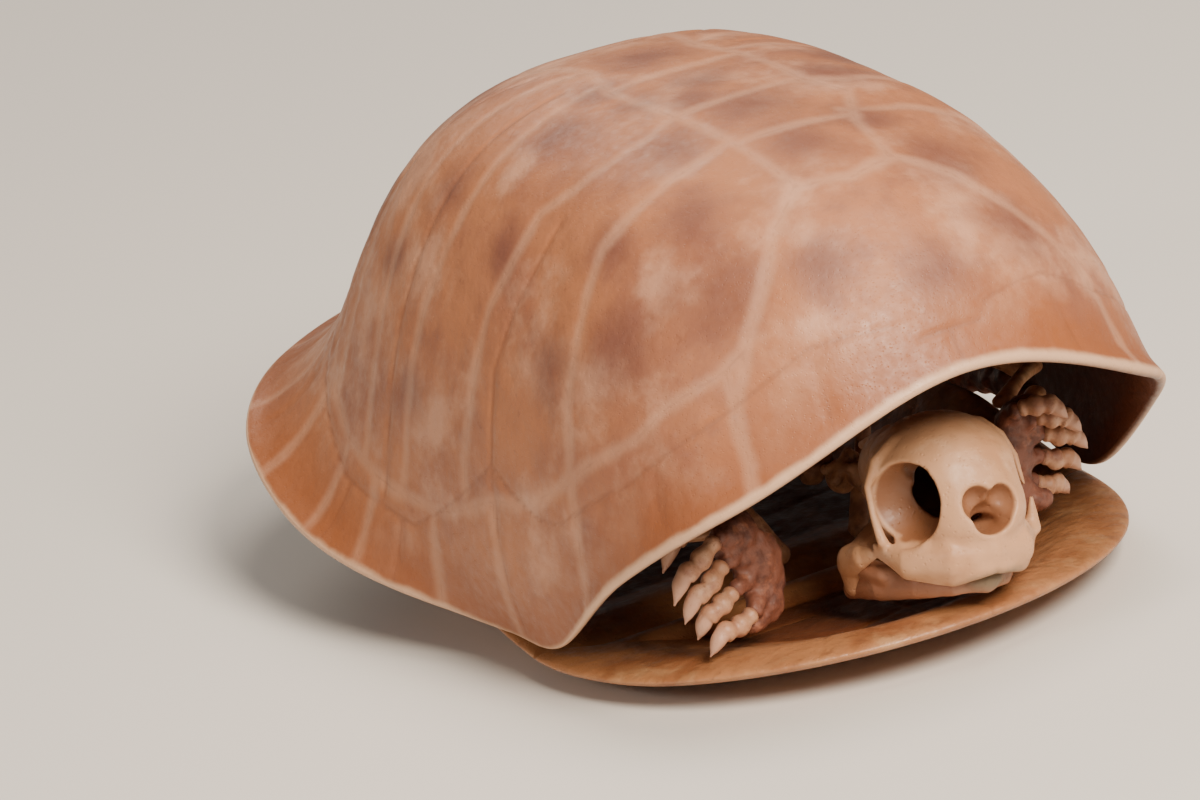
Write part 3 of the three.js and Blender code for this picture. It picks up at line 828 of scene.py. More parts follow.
    def surface(self) -> Surface:
        """Builds the shell: outer face from crown to rim, a rounded edge, inner face back to the crown.

        Returns:
            The closed shell with the marks suture, groove, stain, rim and depth.
        """
        turn = np.arange(self.columns) / self.columns * 2 * math.pi
        lowest = self.lowest_rise
        outer = self.even_rises(self.outer_rows, lowest)
        inner = self.even_rises(self.inner_rows, lowest)[::-1]
        angles, rises = np.meshgrid(turn, outer)
        face = self.face(angles, rises)
        normal, _ = self.slopes(angles, rises)
        flat = face.reshape(-1, 3)
        margin = [tuple(self.margin_seam)]
        radial = [((t, np.interp(t, *np.array(self.margin_seam).T)), (t - 1, 0.0)) for t in self.margin_turns]
        suture = self.nearest(flat, self.lines((*self.rib_seams, *margin, *radial)))
        plan = np.array([[a, b] for seam in self.back_seams for a, b in zip(seam[:-1], seam[1:])], float)
        seen = np.where((rises.ravel() > 0.45)[:, None], flat[:, :2], 1e3)
        suture = np.minimum(suture, self.nearest(seen, plan))
        groove = self.nearest(flat, self.lines(self.scute_grooves))
        spots = np.array(self.stains)
        middles = self.face(np.radians(spots[:, 0]), spots[:, 1])
        apart = np.linalg.norm(flat[:, None] - middles, axis=-1) / spots[:, 2]
        rim_at = self.face(angles, np.zeros_like(rises))
        rim = np.linalg.norm(face - rim_at, axis=-1)
        sunk = self.groove_depth * np.exp(-((groove / self.groove_width) ** 2))
        sunk = sunk + self.seam_depth * np.exp(-((suture / self.seam_width) ** 2))
        sunk = sunk + 0.22 * (1 + ripple(flat, 23, 5)) + 0.05 * (1 + ripple(flat, 5, 6))
        fade = smoothstep(rim, 0.5, 4.0) * smoothstep(1 - rises, 0.0, 0.02)
        face = face - normal * (sunk.reshape(rises.shape) * fade)[..., None]
        edge_turn, edge_rise = np.meshgrid(turn, np.full(self.rim_rows, lowest))
        edge_normal, edge_up = self.slopes(edge_turn, edge_rise)
        half = self.rim_wall / 2
        bend = (np.arange(1, self.rim_rows + 1) / (self.rim_rows + 1) * math.pi)[:, None, None]
        edge = self.face(edge_turn, edge_rise) + half * (
            (np.cos(bend) - 1) * edge_normal - np.sin(bend) * 0.9 * edge_up
        )
        in_turn, in_rise = np.meshgrid(turn, inner)
        in_normal, _ = self.slopes(in_turn, in_rise)
        thick = self.rim_wall + (self.wall - self.rim_wall) * smoothstep(in_rise, 0.0, 0.07)
        inside = self.face(in_turn, in_rise) - in_normal * thick[..., None]
        far, beside = np.full(inside.shape[:2], NO_MARK), np.full(edge.shape[:2], NO_MARK)
        rounded = -(1 - np.cos(np.broadcast_to(bend[..., 0], edge.shape[:2]))) / 2
        marks = {
            "suture": np.concatenate([suture.reshape(rises.shape), beside, far]),
            "groove": np.concatenate([groove.reshape(rises.shape), beside, far]),
            "stain": np.concatenate([apart.min(1).reshape(rises.shape), beside, far]),
            "rim": np.concatenate([rim, np.zeros(edge.shape[:2]), far]),
            # depth: 0 on the outer face, falling over the rounded edge to -1 on the inner face, where it
            # paints shade
            "depth": np.concatenate([np.zeros(rises.shape), rounded, -np.ones(inside.shape[:2])]),
        }
        crown = self.face(np.array(0.0), np.array(1.0))
        return closed_grid(np.concatenate([face, edge, inside]), crown, crown - (0, 0, self.wall), marks)

    def ceiling(self, y: float) -> float:
        """Returns the height of the inner face on the midline."""
        rises = np.linspace(0, 1, 4000)
        turn = 0.0 if y < self.crown_shift else math.pi
        spots = self.face(np.full(len(rises), turn), rises)
        return float(spots[np.argmin(np.abs(spots[:, 1] - y)), 2]) - self.wall

    def back(self) -> Surface:
        """Builds the back vertebrae and the rib heads on the shell's inner face.

        Returns:
            The fused column as one surface.
        """
        front, rear, drop, pairs = -33.0, 38.0, 2.0, 8
        ends = np.linspace(front, rear, pairs + 1)
        spine = [(0.0, y, self.ceiling(y) - drop) for y in ends]
        shares = np.linspace(0, 1, 2 * pairs + 1)
        girths = [(s, 2.5 if i % 2 == 0 else 1.5, 2.3 if i % 2 == 0 else 1.6) for i, s in enumerate(shares)]
        parts = [sweep(spine, girths, 120, 20, seed=11)]
        for i, y in enumerate((ends[1:] + ends[:-1]) / 2):
            z = self.ceiling(y)
            for side in Side:
                rib = side.path([(0, y, z - drop), (5, y, z - 2.4), (11, y, z - 0.6)])
                parts.append(sweep(rib, [(0, 0.9, 0.9), (0.5, 0.8, 0.6), (1, 2.0, 0.9)], 20, 12, seed=20 + i))
        return Surface.joined(parts)

    def build(self, inner: bpy.types.Material) -> None:
        """Builds and dresses the upper shell."""
        count = add_piece("carapace_bone", self.surface(), self.finish.build(), Slot.SHELL, "carapace")
        LOG.info("carapace_bone: %d triangles", count)
        count = add_piece("back_column", self.back(), inner, Slot.LIMB)
        LOG.info("back_column: %d triangles", count)


# Belly shell


@dataclass
class BellyShell:
    """The two lobes of the belly shell, either side of the hinge."""

    hinge_y: float = -16.6
    gap: float = 0.5
    half_width: float = 42.0
    front_reach: float = 39.5
    rear_reach: float = 73.0
    thick: float = 4.2
    front_tilt: float = 4.4
    rear_tilt: float = 1.6
    dish: float = 2.2
    dish_reach: tuple[float, float] = (0.48, 0.8)  # shares of the reach where the hollow is full and gone
    groove_depth: float = 0.2
    groove_width: float = 0.5
    wave_depth: float = 0.1
    border_in: float = 0.61  # roundness of the border, inwards
    border_up: float = 0.95  # and upwards
    bridge_width: tuple[float, float] = (31.0, 41.0)  # from the middle, where the rise starts and is full
    columns: int = 360
    rows: int = 150
    ligament_path: Path = ((42.2, -6, 9), (43.8, 2, 11.8), (44.6, 9, 11), (44.2, 16, 9.4), (43.2, 23, 7.9))
    ligament_radii: tuple = (1.4, 2.6, 2.8, 2.6, 1.5)
    # Rise of the side edges inside the upper shell, by place along Y
    sides: np.ndarray = field(default_factory=lambda: np.array([
        (-45, 0), (-27, 0.8), (-14, 2.1), (-4, 3.9), (8, 7), (20, 7.2), (44, 0),
    ], float))
    finish: DryBone = DryBone(
        # Belly bone: warmer and oilier than the dome, orange tan, with painted shade that darkens the hollow
        name="belly_bone_oily",
        tone="#a5714a",
        clouds=(
            Cloud("#7f4b2c", 13, 0.44, 0.66, 0.8, 5.0),
            Cloud("#c0946a", 7, 0.5, 0.72, 0.6, 4.0),
            Cloud("#6b4029", 2.6, 0.58, 0.72, 0.4, 5.0),
        ),
        bands=(
            # painted shade: each lobe's hollow darkens inwards, and its floor is painted almost black
            Band("#8d4f2a", "hollow", -0.9, -0.25, 0.6, 0.15, 5.0),
            Band("#4a2211", "hollow", -1.0, -0.9, 0.8, 0.08, 7.0),
            Band("#8a5a38", "groove", 0.05, 0.5, 0.4, 0.2, 3.0),
        ),
        reliefs=(Relief(0.6, 0.04, True), Relief(1.3, 0.12), Relief(4.5, 0.7)),
        roughness=0.45,
        coat=0.12,
    )

    def bridge(self, x: np.ndarray, y: np.ndarray) -> np.ndarray:
        """Returns the rise of the side edges inside the upper shell: a curve in Y times a step in X."""
        along = smooth_rows(self.sides, y, 1)
        return along * smoothstep(np.abs(x), *self.bridge_width)

    def lobe(self, reach: float, power: float, tilt_from: float, tilt_over: float, tilt: float,
             tilt_power: float, grooves: Sequence) -> Surface:
        """Builds one lobe.

        Its outline is a half superellipse from the hinge line. Going in from the edge the plate
        keeps its thickness in a broad rounded border, then sinks by the dish into the hollow.

        Args:
            reach: Signed length from the hinge to the free edge.
            power: Squareness of the outline.
            tilt_from: Distance from the hinge where the lobe starts to lift.
            tilt_over: Distance over which it lifts by the tilt.
            tilt: Height of that lift.
            tilt_power: Power of the lift.
            grooves: Lines of the scute grooves in x and y.

        Returns:
            The closed lobe with the marks groove and hollow.
        """
        way = math.copysign(1.0, reach)
        angle = (np.arange(self.columns) + 0.5) / self.columns * 2 * math.pi
        ahead, across = np.cos(angle), np.sin(angle)
        bow = np.where(ahead > 0, np.abs(ahead) ** (2 / power), 0)
        straight = np.sign(across) * np.abs(across) ** 0.55
        wide = np.where(ahead > 0, np.sign(across) * np.abs(across) ** (2 / power), straight)
        edge_x = self.half_width * wide
        edge_y = self.hinge_y + way * self.gap / 2 + reach * bow
        centre = self.hinge_y + reach * 0.42
        swing = (np.arange(self.rows) + 0.5) / self.rows * math.pi
        out = (np.sin(swing) ** self.border_in)[:, None]
        over = (np.sign(np.cos(swing)) * np.abs(np.cos(swing)) ** self.border_up)[:, None]
        x, y = edge_x * out, centre + (edge_y - centre) * out
        gone = np.maximum(0, (way * (y - self.hinge_y) - tilt_from) / tilt_over)
        lift = tilt * gone**tilt_power + self.bridge(x, y)
        hollow = self.dish * (1 - smoothstep(out, *self.dish_reach)) * (over > 0)
        half = self.thick / 2
        flat = np.stack([x.ravel(), y.ravel()], -1)
        line = np.array([[a, b] for groove in grooves for a, b in zip(groove[:-1], groove[1:])], float)
        near = UpperShell.nearest(flat, line).reshape(x.shape)
        waves = ripple(np.column_stack([flat, 0 * flat[:, 0]]), 11, 8)
        sunk = self.groove_depth * np.exp(-((near / self.groove_width) ** 2))
        sunk = sunk + self.wave_depth * (1 + waves).reshape(x.shape)
        z = half + lift + over * (half - sunk * smoothstep(np.abs(over), 0.2, 0.6)) - hollow
        rows = np.stack([x, y, np.maximum(z, 0)], -1)
        marks = {
            "groove": near,
            # hollow: 0 on the border, -1 at the floor of the dish; the finish paints shade with it
            "hollow": -np.broadcast_to(hollow / self.dish, x.shape),
        }
        top = np.array([0, centre, rows[0, :, 2].mean()])
        return closed_grid(rows, top, np.array([0, centre, rows[-1, :, 2].mean()]), marks)

    def side_ligament(self, side: Side) -> Surface:
        """Builds the dried ligament that ties a side edge, behind the hinge, to the upper shell."""
        rope = Rod(side.path(self.ligament_path), self.ligament_radii)
        return Grown([rope], cell=0.4, rough=0.25, rough_mm=2.4, seed=61).surface()

    def build(self, ligament: bpy.types.Material) -> None:
        """Builds and dresses both lobes and the ligament beside them."""
        material = self.finish.build()
        front = (
            ((0, -20), (0, -60)), ((-14, -44), (0, -40), (14, -44)), ((-30, -30), (0, -31), (30, -30)),
            ((-14, -44), (-19, -52)), ((14, -44), (19, -52)),
        )
        rear = (
            ((0, -14), (0, 57)), ((-41, 6), (-18, 10), (0, 8), (18, 10), (41, 6)),
            ((-36, 34), (-12, 28), (0, 31), (12, 28), (36, 34)),
        )
        ahead, back = self.front_reach, self.rear_reach
        for name, surface in (
            ("plastron_front", self.lobe(-ahead, 2.0, 0, ahead, self.front_tilt, 1.2, front)),
            ("plastron_rear", self.lobe(back, 2.6, 30 - self.hinge_y, back - 46, self.rear_tilt, 2.0, rear)),
        ):
            count = add_piece(f"{name}_bone", surface, material, Slot.BELLY, f"{name}_lobe")
            LOG.info("%s_bone: %d triangles", name, count)
        for side in Side:
            name = f"side_ligament_{side.name.lower()}"
            count = add_piece(name, self.side_ligament(side), ligament, Slot.LIGAMENT)
            LOG.info("%s: %d triangles", name, count)


# Head


@dataclass
class Head:
    """Skull and mandible, made in the head's own frame: beak tip at the origin, +Y to the back."""

    beak: Point = (3.3, -60.5, 14.4)
    pitch: float = -6.0
    roll: float = 6.0
    yaw: float = 1.0
    spread: Point = (1.1, 1.03, 1.0)
    jaw_path: Path = (
        (0, 4.2, -2.7), (3.4, 5.8, -2.9), (6.0, 10.0, -3.1), (7.8, 15.4, -3.2), (8.8, 21.2, -4.4),
    )
    jaw_radii: tuple = (1.3, 1.3, 1.6, 2.2, 1.4)
    jaw_squash: Point = (0.62, 0.62, 1)
    finish: DryBone = DryBone(
        # Skull bone: chalkier and paler than the shell, cream, with painted shade in the hollows
        name="head_bone_chalky",
        tone="#c59570",
        clouds=(
            Cloud("#aa7650", 9, 0.44, 0.68, 0.55, 5.0),
            Cloud("#d9b394", 6, 0.5, 0.72, 0.6, 4.0),
            Cloud("#8a5b3c", 2.0, 0.64, 0.74, 0.3, 6.0),
        ),
        bands=(
            # painted shade: the hollows are darker, and the insides of the sockets are near black-brown
            Band("#7c4c2e", "hollow", -0.9, -0.2, 0.85, 0.1, 3.0),
            Band("#4d2311", "hollow", -6.0, -3.6, 0.9, 0.3, 3.0),
            Band("#8f5a41", "jaw", 0.0, 1.0, 0.75, 0.1, 3.0),
            Band("#5f5b45", "beak", 0.6, 2.6, 0.75, 0.6, 2.0),
        ),
        reliefs=(Relief(0.8, 0.05, True), Relief(0.5, 0.02), Relief(2.4, 0.1)),
        roughness=0.5,
        coat=0.06,
        grain_mm=0.8,
    )

    def place(self, surface: Surface) -> Surface:
        """Returns a surface of the head's frame spread, rolled, pitched, turned and moved into place."""
        turn = (
            Matrix.Rotation(math.radians(self.yaw), 3, "Z")
            @ Matrix.Rotation(math.radians(self.pitch), 3, "X")
            @ Matrix.Rotation(math.radians(self.roll), 3, "Y")
        )
        surface.points = (surface.points * self.spread) @ np.array(turn).T + self.beak
        return surface

    def skull(self) -> Surface:
        """Builds the skull, whose left bar behind the eye is broken.

        Returns:
            The skull, in the head's frame.
        """
        forms: list[Rod | Ball] = [
            Ball((0, 18.5, 9), (5, 11, 6.4)),
            Ball((0, 12.6, 8.4), (9, 11.2, 9.5)),
            Ball((0, 8, 6.2), (7.2, 7.9, 6.8)),
            Rod([(0, 22, 13.4), (0, 27, 12.4), (0, 31.5, 11)], (1.6, 1.1, 0.6), (0.7, 1, 1)),
            Ball((0, 28.6, 5.8), (1.9, 2.1, 1.7)),
        ]
        holes: list[Rod | Ball] = [
            Rod([(0, 8.6, 8.6), (0, 23, 9.2)], (4.1, 3.6), (1.08, 1, 1.1)),
            Ball((-1.6, -0.2, 8.1), (2.2, 3.7, 2.5)),
            Ball((1.6, -0.2, 7.7), (2.2, 3.7, 2.5)),
            Ball((0, 0.6, 5.9), (2.6, 3.8, 2.2)),
            Ball((0, 3, 4.9), (1.7, 3.6, 1.1)),
            Ball((0, 16, -1.8), (6, 12, 4.6)),
            Ball((10.6, 15.2, 5.4), (4.4, 5, 3.2)),
        ]
        for side in Side:
            forms += [
                Rod(side.path([(0, 2, 1.3), (4.6, 3.2, 0.9), (7.8, 8.2, 0.8), (9.4, 12.8, 2.5)]),
                    (2.1, 2.3, 2.1, 0.5), (0.62, 0.62, 1)),
                Rod(side.path([(0.9, 1.8, -0.6), (4.4, 4, -1.4), (7.4, 9.2, -0.9), (8.8, 12.2, 0.9)]),
                    (0.9, 1.1, 0.8, 0.4)),
                Rod(side.path([(9.2, 13.4, 1.4), (9.7, 16.6, 0.4), (9.4, 19.6, -0.8), (9.1, 20, -3.8)]),
                    (0.6, 1.6, 2.2, 1.4), (0.6, 1, 1)),
                Rod(side.path([(3.6, 21.2, 3), (8.8, 19.8, -0.2)]), (1.4, 1.4)),
                Rod(side.path([(4.6, 4.2, 2.9), (5.4, 8.4, 2.9), (6.6, 11.4, 2.2)]), (1, 1.3, 0.9)),
                Ball(side.place((6.3, 6.6, 3.4)), (1.2, 1.2, 1.1)),
                Ball(side.place((6.9, 10, 3.2)), (1.1, 1.3, 1)),
            ]
            holes += [
                Ball(side.place((9.4, 8, 8.2)), (6.6, 5.6, 5.7)),
                Ball(side.place((4.3, 8.4, 11.4)), (2.6, 3.4, 2.2)),
                Ball(side.place((10.4, 20.6, 9)), (5.9, 6.6, 7.4)),
                Rod(side.path([(7.9, 8.4, 2.9), (6.6, 7.4, 3.2)]), (0.4, 0.4)),
                Rod(side.path([(5.9, 6.7, 3.2), (5.2, 6.1, 3.4)]), (0.34, 0.34)),
            ]
        later = [
            Rod([(-5.6, 12.6, 15.2), (-8.2, 13.2, 13.2), (-9.6, 13, 10.1), (-9.6, 12.2, 6.6),
                 (-9.3, 11.2, 3.2)], (0.9, 0.6, 0.42, 0.42, 0.6)),
            Rod([(5.6, 12.4, 15.2), (8.2, 12.4, 13.4), (9.5, 11.7, 10.3), (9.6, 10.4, 6.9)],
                (0.9, 0.55, 0.45, 0.2)),
            Rod([(9.3, 8.6, 1.4), (9.6, 8.8, 5.2)], (1, 0.25)),
        ]
        made = Grown(forms, holes, later, width=0.8, cell=0.28, rough=0.035).surface()
        return self.marked(made, forms, 2.0)

    def mandible(self) -> Surface:
        """Builds the lower jaw: two deep rami that meet in a blunt chin."""
        forms: list[Rod | Ball] = [Ball((0, 4.4, -2.6), (2.2, 1.4, 1.3))]
        for side in Side:
            forms += [
                Rod(side.path(self.jaw_path), self.jaw_radii, self.jaw_squash),
                Rod(side.path([(8, 13.8, -1.6), (8.6, 17.2, -1.2)]), (1.3, 1.3)),
            ]
        return self.marked(Grown(forms, width=0.7, cell=0.26, rough=0.035).surface(), forms, 0.0)

    @staticmethod
    def marked(surface: Surface, forms: Sequence[Rod | Ball], jaw: float) -> Surface:
        """Stores the marks that colour the head, painted shade in its hollows among them.

        hollow is the height in mm over the head as it would be if nothing were cut out of it, so
        that it is deep below 0 inside the sockets, where it paints shade; beak is the distance in mm
        from the tip of the beak's lower edge, with X and Y shortened; jaw is 0 on the lower jaw and 2 on the
        skull.
        """
        p = surface.points
        surface.marks["hollow"] = Grown(forms).distance(p)
        surface.marks["beak"] = np.linalg.norm((p - (0.6, 2.4, -2.6)) * (0.42, 0.6, 1.0), axis=1)
        surface.marks["jaw"] = np.full(len(p), jaw)
        return surface

    def build(self) -> None:
        """Builds and dresses skull and mandible."""
        material = self.finish.build()
        for name, surface in (("skull", self.skull()), ("mandible", self.mandible())):
            count = add_piece(f"{name}_bone", self.place(surface), material, Slot.HEAD, name)
            LOG.info("%s_bone: %d triangles", name, count)


# Neck, tail and limbs

LIMB_BONE = DryBone(
    # Limb bone: dry and fatty brown, with shreds of dried tissue near the joints
    name="limb_bone_stained",
    tone="#b98863",
    clouds=(
        Cloud("#7a4a34", 5, 0.42, 0.66, 0.8, 5.0),
        Cloud("#dcb38a", 3.2, 0.5, 0.7, 0.6, 4.0),
        Cloud("#4c2a22", 1.8, 0.58, 0.72, 0.6, 5.0),
    ),
    reliefs=(Relief(0.6, 0.05, True), Relief(1.0, 0.1), Relief(3.0, 0.2)),
    roughness=0.55,
    coat=0.08,
    grain_mm=0.7,
)
DIGIT_BONE = DryBone(
    # Digit: stained bone that ends in a claw of pale brown horn
    name="digit_bone_and_claw",
    tone="#b58363",
    clouds=(
        Cloud("#86584a", 4, 0.44, 0.66, 0.75, 5.0),
        Cloud("#d2a686", 2.4, 0.46, 0.68, 0.75, 4.0),
        Cloud("#7a4630", 1.2, 0.58, 0.7, 0.5, 5.0),
    ),
    bands=(
        Band("#c0937a", "claw", 0.34, 0.4, 0.8, 0.02, 2.0),
        Band("#8a5c49", "claw", 0.0, 0.14, 0.5, 0.03, 2.0),
    ),
    reliefs=(Relief(0.5, 0.04, True), Relief(0.8, 0.08)),
    roughness=0.5,
    coat=0.12,
    grain_mm=0.6,
)
LIGAMENT = DryBone(
    # Dried ligament and skin: dark purple brown, leathery, shrunk into strands
    name="dried_ligament_leathery",
    tone="#7b4a38",
    clouds=(
        Cloud("#4f2d25", 2.6, 0.44, 0.64, 0.8, 5.0),
        Cloud("#a5694c", 1.8, 0.52, 0.7, 0.65, 5.0),
    ),
    reliefs=(Relief(0.5, 0.06), Relief(1.5, 0.3)),
    roughness=0.58,
    coat=0.1,
    grain_mm=0.5,
)


@dataclass
class Column:
    """A row of loose vertebrae along a path."""

    name: str
    path: Path
    count: int
    first_size: float
    last_size: float
    gap: float = 0.5

    def vertebra(self, start: np.ndarray, end: np.ndarray, size: float, seed: int) -> Surface:
        """Builds one vertebra: a waisted body, an arch over it and four small joint prongs."""
        axis = (end - start) / np.linalg.norm(end - start)
        aside = np.array([1.0, 0.0, 0.0])
        above = np.cross(aside, axis)
        above *= math.copysign(1.0, above[1] + above[2]) / np.linalg.norm(above)
        middle = (start + end) / 2
        arch = [middle + s * 1.15 * size * aside for s in (-1, 1)]
        forms = [
            Rod([tuple(start), tuple(middle), tuple(end)], (size * 0.92, size * 0.55, size)),
            Rod([tuple(arch[0]), tuple(middle + above * size), tuple(arch[1])],
                (size * 0.35, size * 0.5, size * 0.35)),
            Rod([tuple(middle + above * size * 0.6), tuple(middle + above * size * 1.35)],
                (size * 0.3, size * 0.2)),
        ]
        for s in (-1, 1):
            for way in (-1, 1):
                root = middle + s * 0.5 * size * aside + above * size * 0.6
                end_of = root + way * axis * size * 0.9 + s * aside * 0.3 * size
                forms.append(Rod([tuple(root), tuple(end_of)], (size * 0.28, size * 0.3)))
        return Grown(forms, width=0.5 * size / 2.4, cell=0.13 * size, rough=0.05, seed=seed).surface()

    def build(self, material: bpy.types.Material) -> None:
        """Builds and dresses the vertebrae."""
        fine = curve_points(self.path, np.linspace(0, 1, 400))
        length = np.concatenate([[0], np.cumsum(np.linalg.norm(np.diff(fine, axis=0), axis=1))])
        total = 0
        for i in range(self.count):
            size = self.first_size + (self.last_size - self.first_size) * i / (self.count - 1)
            spare = np.array([1, -1]) * (self.gap / 2 + 0.9 * size)
            ends = np.array([i, i + 1]) / self.count * length[-1] + spare
            start, end = (np.array([np.interp(at, length, fine[:, k]) for k in range(3)]) for at in ends)
            bone = self.vertebra(start, end, size, 30 + i)
            total += add_piece(f"{self.name}_bone_{i + 1}", bone, material, Slot.LIMB, f"{self.name}_{i + 1}")
        LOG.info("%s: %d pieces, %d triangles", self.name, self.count, total)


def long_bone(start: Point, middle: Point, end: Point, girth: float, shaft: float, seed: int) -> Surface:
    """Builds a long bone with two knuckles at each end and a slim shaft."""
    girths = [
        (0, girth * 0.95, girth * 0.78), (0.1, girth * 0.9, girth * 0.75), (0.24, shaft * 1.15, shaft),
        (0.5, shaft, shaft * 0.95), (0.76, shaft * 1.2, shaft), (0.91, girth * 0.92, girth * 0.68),
        (1, girth * 0.95, girth * 0.72),
    ]
    return sweep([start, middle, end], girths, 60, 28, lobes=0.12, seed=seed)


def between(a: Point, b: Point, share: float) -> Point:
    """Returns the point at a share of the way from one point to another."""
    return tuple(p + (q - p) * share for p, q in zip(a, b))


@dataclass
class Digit:
    """A finger or toe: small bones with knobbed joints and a curved claw."""

    root: Point
    knuckle: Point
    tip: Point
    size: float

    def surface(self, seed: int) -> Surface:
        """Builds the digit as an oval carried along its path, wide at the joints, drawn out to the claw.

        Returns:
            The closed surface with the mark claw: 1 at the root, 0 at the claw's tip.
        """
        arch = between(self.knuckle, self.tip, 0.5)
        arch = (arch[0], arch[1], arch[2] + 0.2 * math.dist(self.knuckle, self.tip))
        s = self.size
        girths = [
            (0, s * 0.86, s * 0.86), (0.05, s * 0.96, s * 0.96), (0.17, s * 0.74, s * 0.72),
            (0.29, s, s * 0.96), (0.36, s * 1.02, s * 0.98), (0.45, s * 0.78, s * 0.76),
            (0.53, s * 0.98, s * 0.94), (0.59, s, s * 0.96), (0.65, s * 0.8, s * 0.84),
            (0.76, s * 0.7, s * 0.84), (0.88, s * 0.42, s * 0.5), (1, s * 0.08, s * 0.1),
        ]
        made = sweep([self.root, self.knuckle, arch, self.tip], girths, 84, 22, rough=0.05, seed=seed)
        made.marks = {"claw": 1 - made.marks["along"]}
        return made


@dataclass
class Arm:
    """Arm of one side: shoulder blade, coracoid, long bones, wrist and five fingers."""

    side: Side
    name: str
    elbow: Point
    wrist: Point
    carpus: Point
    digits: Sequence[tuple[Point, Point, Point]]
    shoulder: Point = (14, -11, 27)

    def girdle(self) -> list[tuple[str, Surface]]:
        """Builds the shoulder blade with its forward arm, and the flat coracoid."""
        at = self.side.path
        blade = Grown(
            [Rod(at([self.shoulder, (12.6, -14.6, 32.5), (12, -18, 38), (7, -29, 56)]), (2.3, 1.6, 1.3, 1.4)),
             Rod(at([self.shoulder, (12.0, -13, 22), (10.5, -15, 17), (6, -19, 7.6)]), (2.2, 1.4, 1.1, 1.4))],
            width=1.2, cell=0.36, rough=0.07, seed=41,
        ).surface()
        path = at([(13.2, -7.2, 23.8), (10.5, -2, 16.5), (8, 4, 9.4)])
        girths = [(0, 1.6, 1.5), (0.4, 1.3, 1.0), (1, 4.0, 0.8)]
        coracoid = sweep(path, girths, 50, 26, aside=(0, 1, 0.9), seed=42)
        return [("scapula", blade), ("coracoid", coracoid)]

    def bones(self) -> list[tuple[str, Surface]]:
        """Builds humerus, radius and ulna."""
        way = self.side.value
        shoulder = (self.shoulder[0] * way + way * 3.6, self.shoulder[1] - 1.2, self.shoulder[2] - 0.8)
        upper = between(shoulder, self.elbow, 0.5)
        upper = (upper[0], upper[1], upper[2] + 2.2)
        made = [("humerus", long_bone(shoulder, upper, between(self.elbow, shoulder, 0.06), 3.0, 1.6, 43))]
        end = between(self.wrist, self.elbow, 0.04)
        for title, shift, rise in (("radius", 1.9, -2.0), ("ulna", -1.9, 1.4)):
            start = between(self.elbow, self.wrist, 0.17)
            start = (start[0], start[1], start[2] + shift)
            last = (end[0], end[1], end[2] + shift * 0.72)
            middle = between(start, last, 0.5)
            middle = (middle[0], middle[1], middle[2] - rise * 0.2)
            made.append((title, long_bone(start, middle, last, 1.5, 0.95, 44)))
        return made

    def wrist_mass(self) -> Surface:
        """Builds the wrist: small bones wrapped in dried ligament, with strands that run to the fingers."""
        x, y, z = self.carpus
        way = self.side.value
        forms: list[Rod | Ball] = [
            Ball((x, y - 0.5, z), (3.5, 2, 4.9)), Ball((x + 2.9 * way, y - 0.5, z + 4.7), (3.6, 1.9, 2.8)),
            Ball((x - 1.2 * way, y - 0.5, z - 2.6), (2.2, 1.7, 2.7)),
            Ball((x + 0.2 * way, y - 1.4, z - 5), (2.6, 1.8, 2.6)),
            Ball((x + 2.6 * way, y - 2.2, z - 6.4), (2, 1.5, 1.5)),
        ]
        for root, _, _ in self.digits:
            near = between((x, y, z + 0.6 * (root[2] - z)), root, 0.3)
            forms.append(Rod([near, between(near, root, 0.85)], (1.4, 1.1)))
        return Grown(forms, width=0.8, cell=0.22, rough=0.12, rough_mm=1.7, seed=45).surface()

    def build(self, bone: bpy.types.Material, digit: bpy.types.Material,
              ligament: bpy.types.Material) -> None:
        """Builds and dresses the arm."""
        total = 0
        for title, surface in self.girdle() + self.bones():
            total += add_piece(f"{title}_bone_{self.name}", surface, bone, Slot.LIMB, f"{title}_{self.name}")
        total += add_piece(f"wrist_mass_{self.name}", self.wrist_mass(), ligament, Slot.LIGAMENT,
                           f"carpus_{self.name}")
        for i, places in enumerate(self.digits, 1):
            made = Digit(*places, 1.4).surface(50 + i)
            total += add_piece(f"finger_bone_{self.name}_{i}", made, digit, Slot.LIMB,
                               f"finger_{self.name}_{i}")
        LOG.info("arm %s: %d triangles", self.name, total)


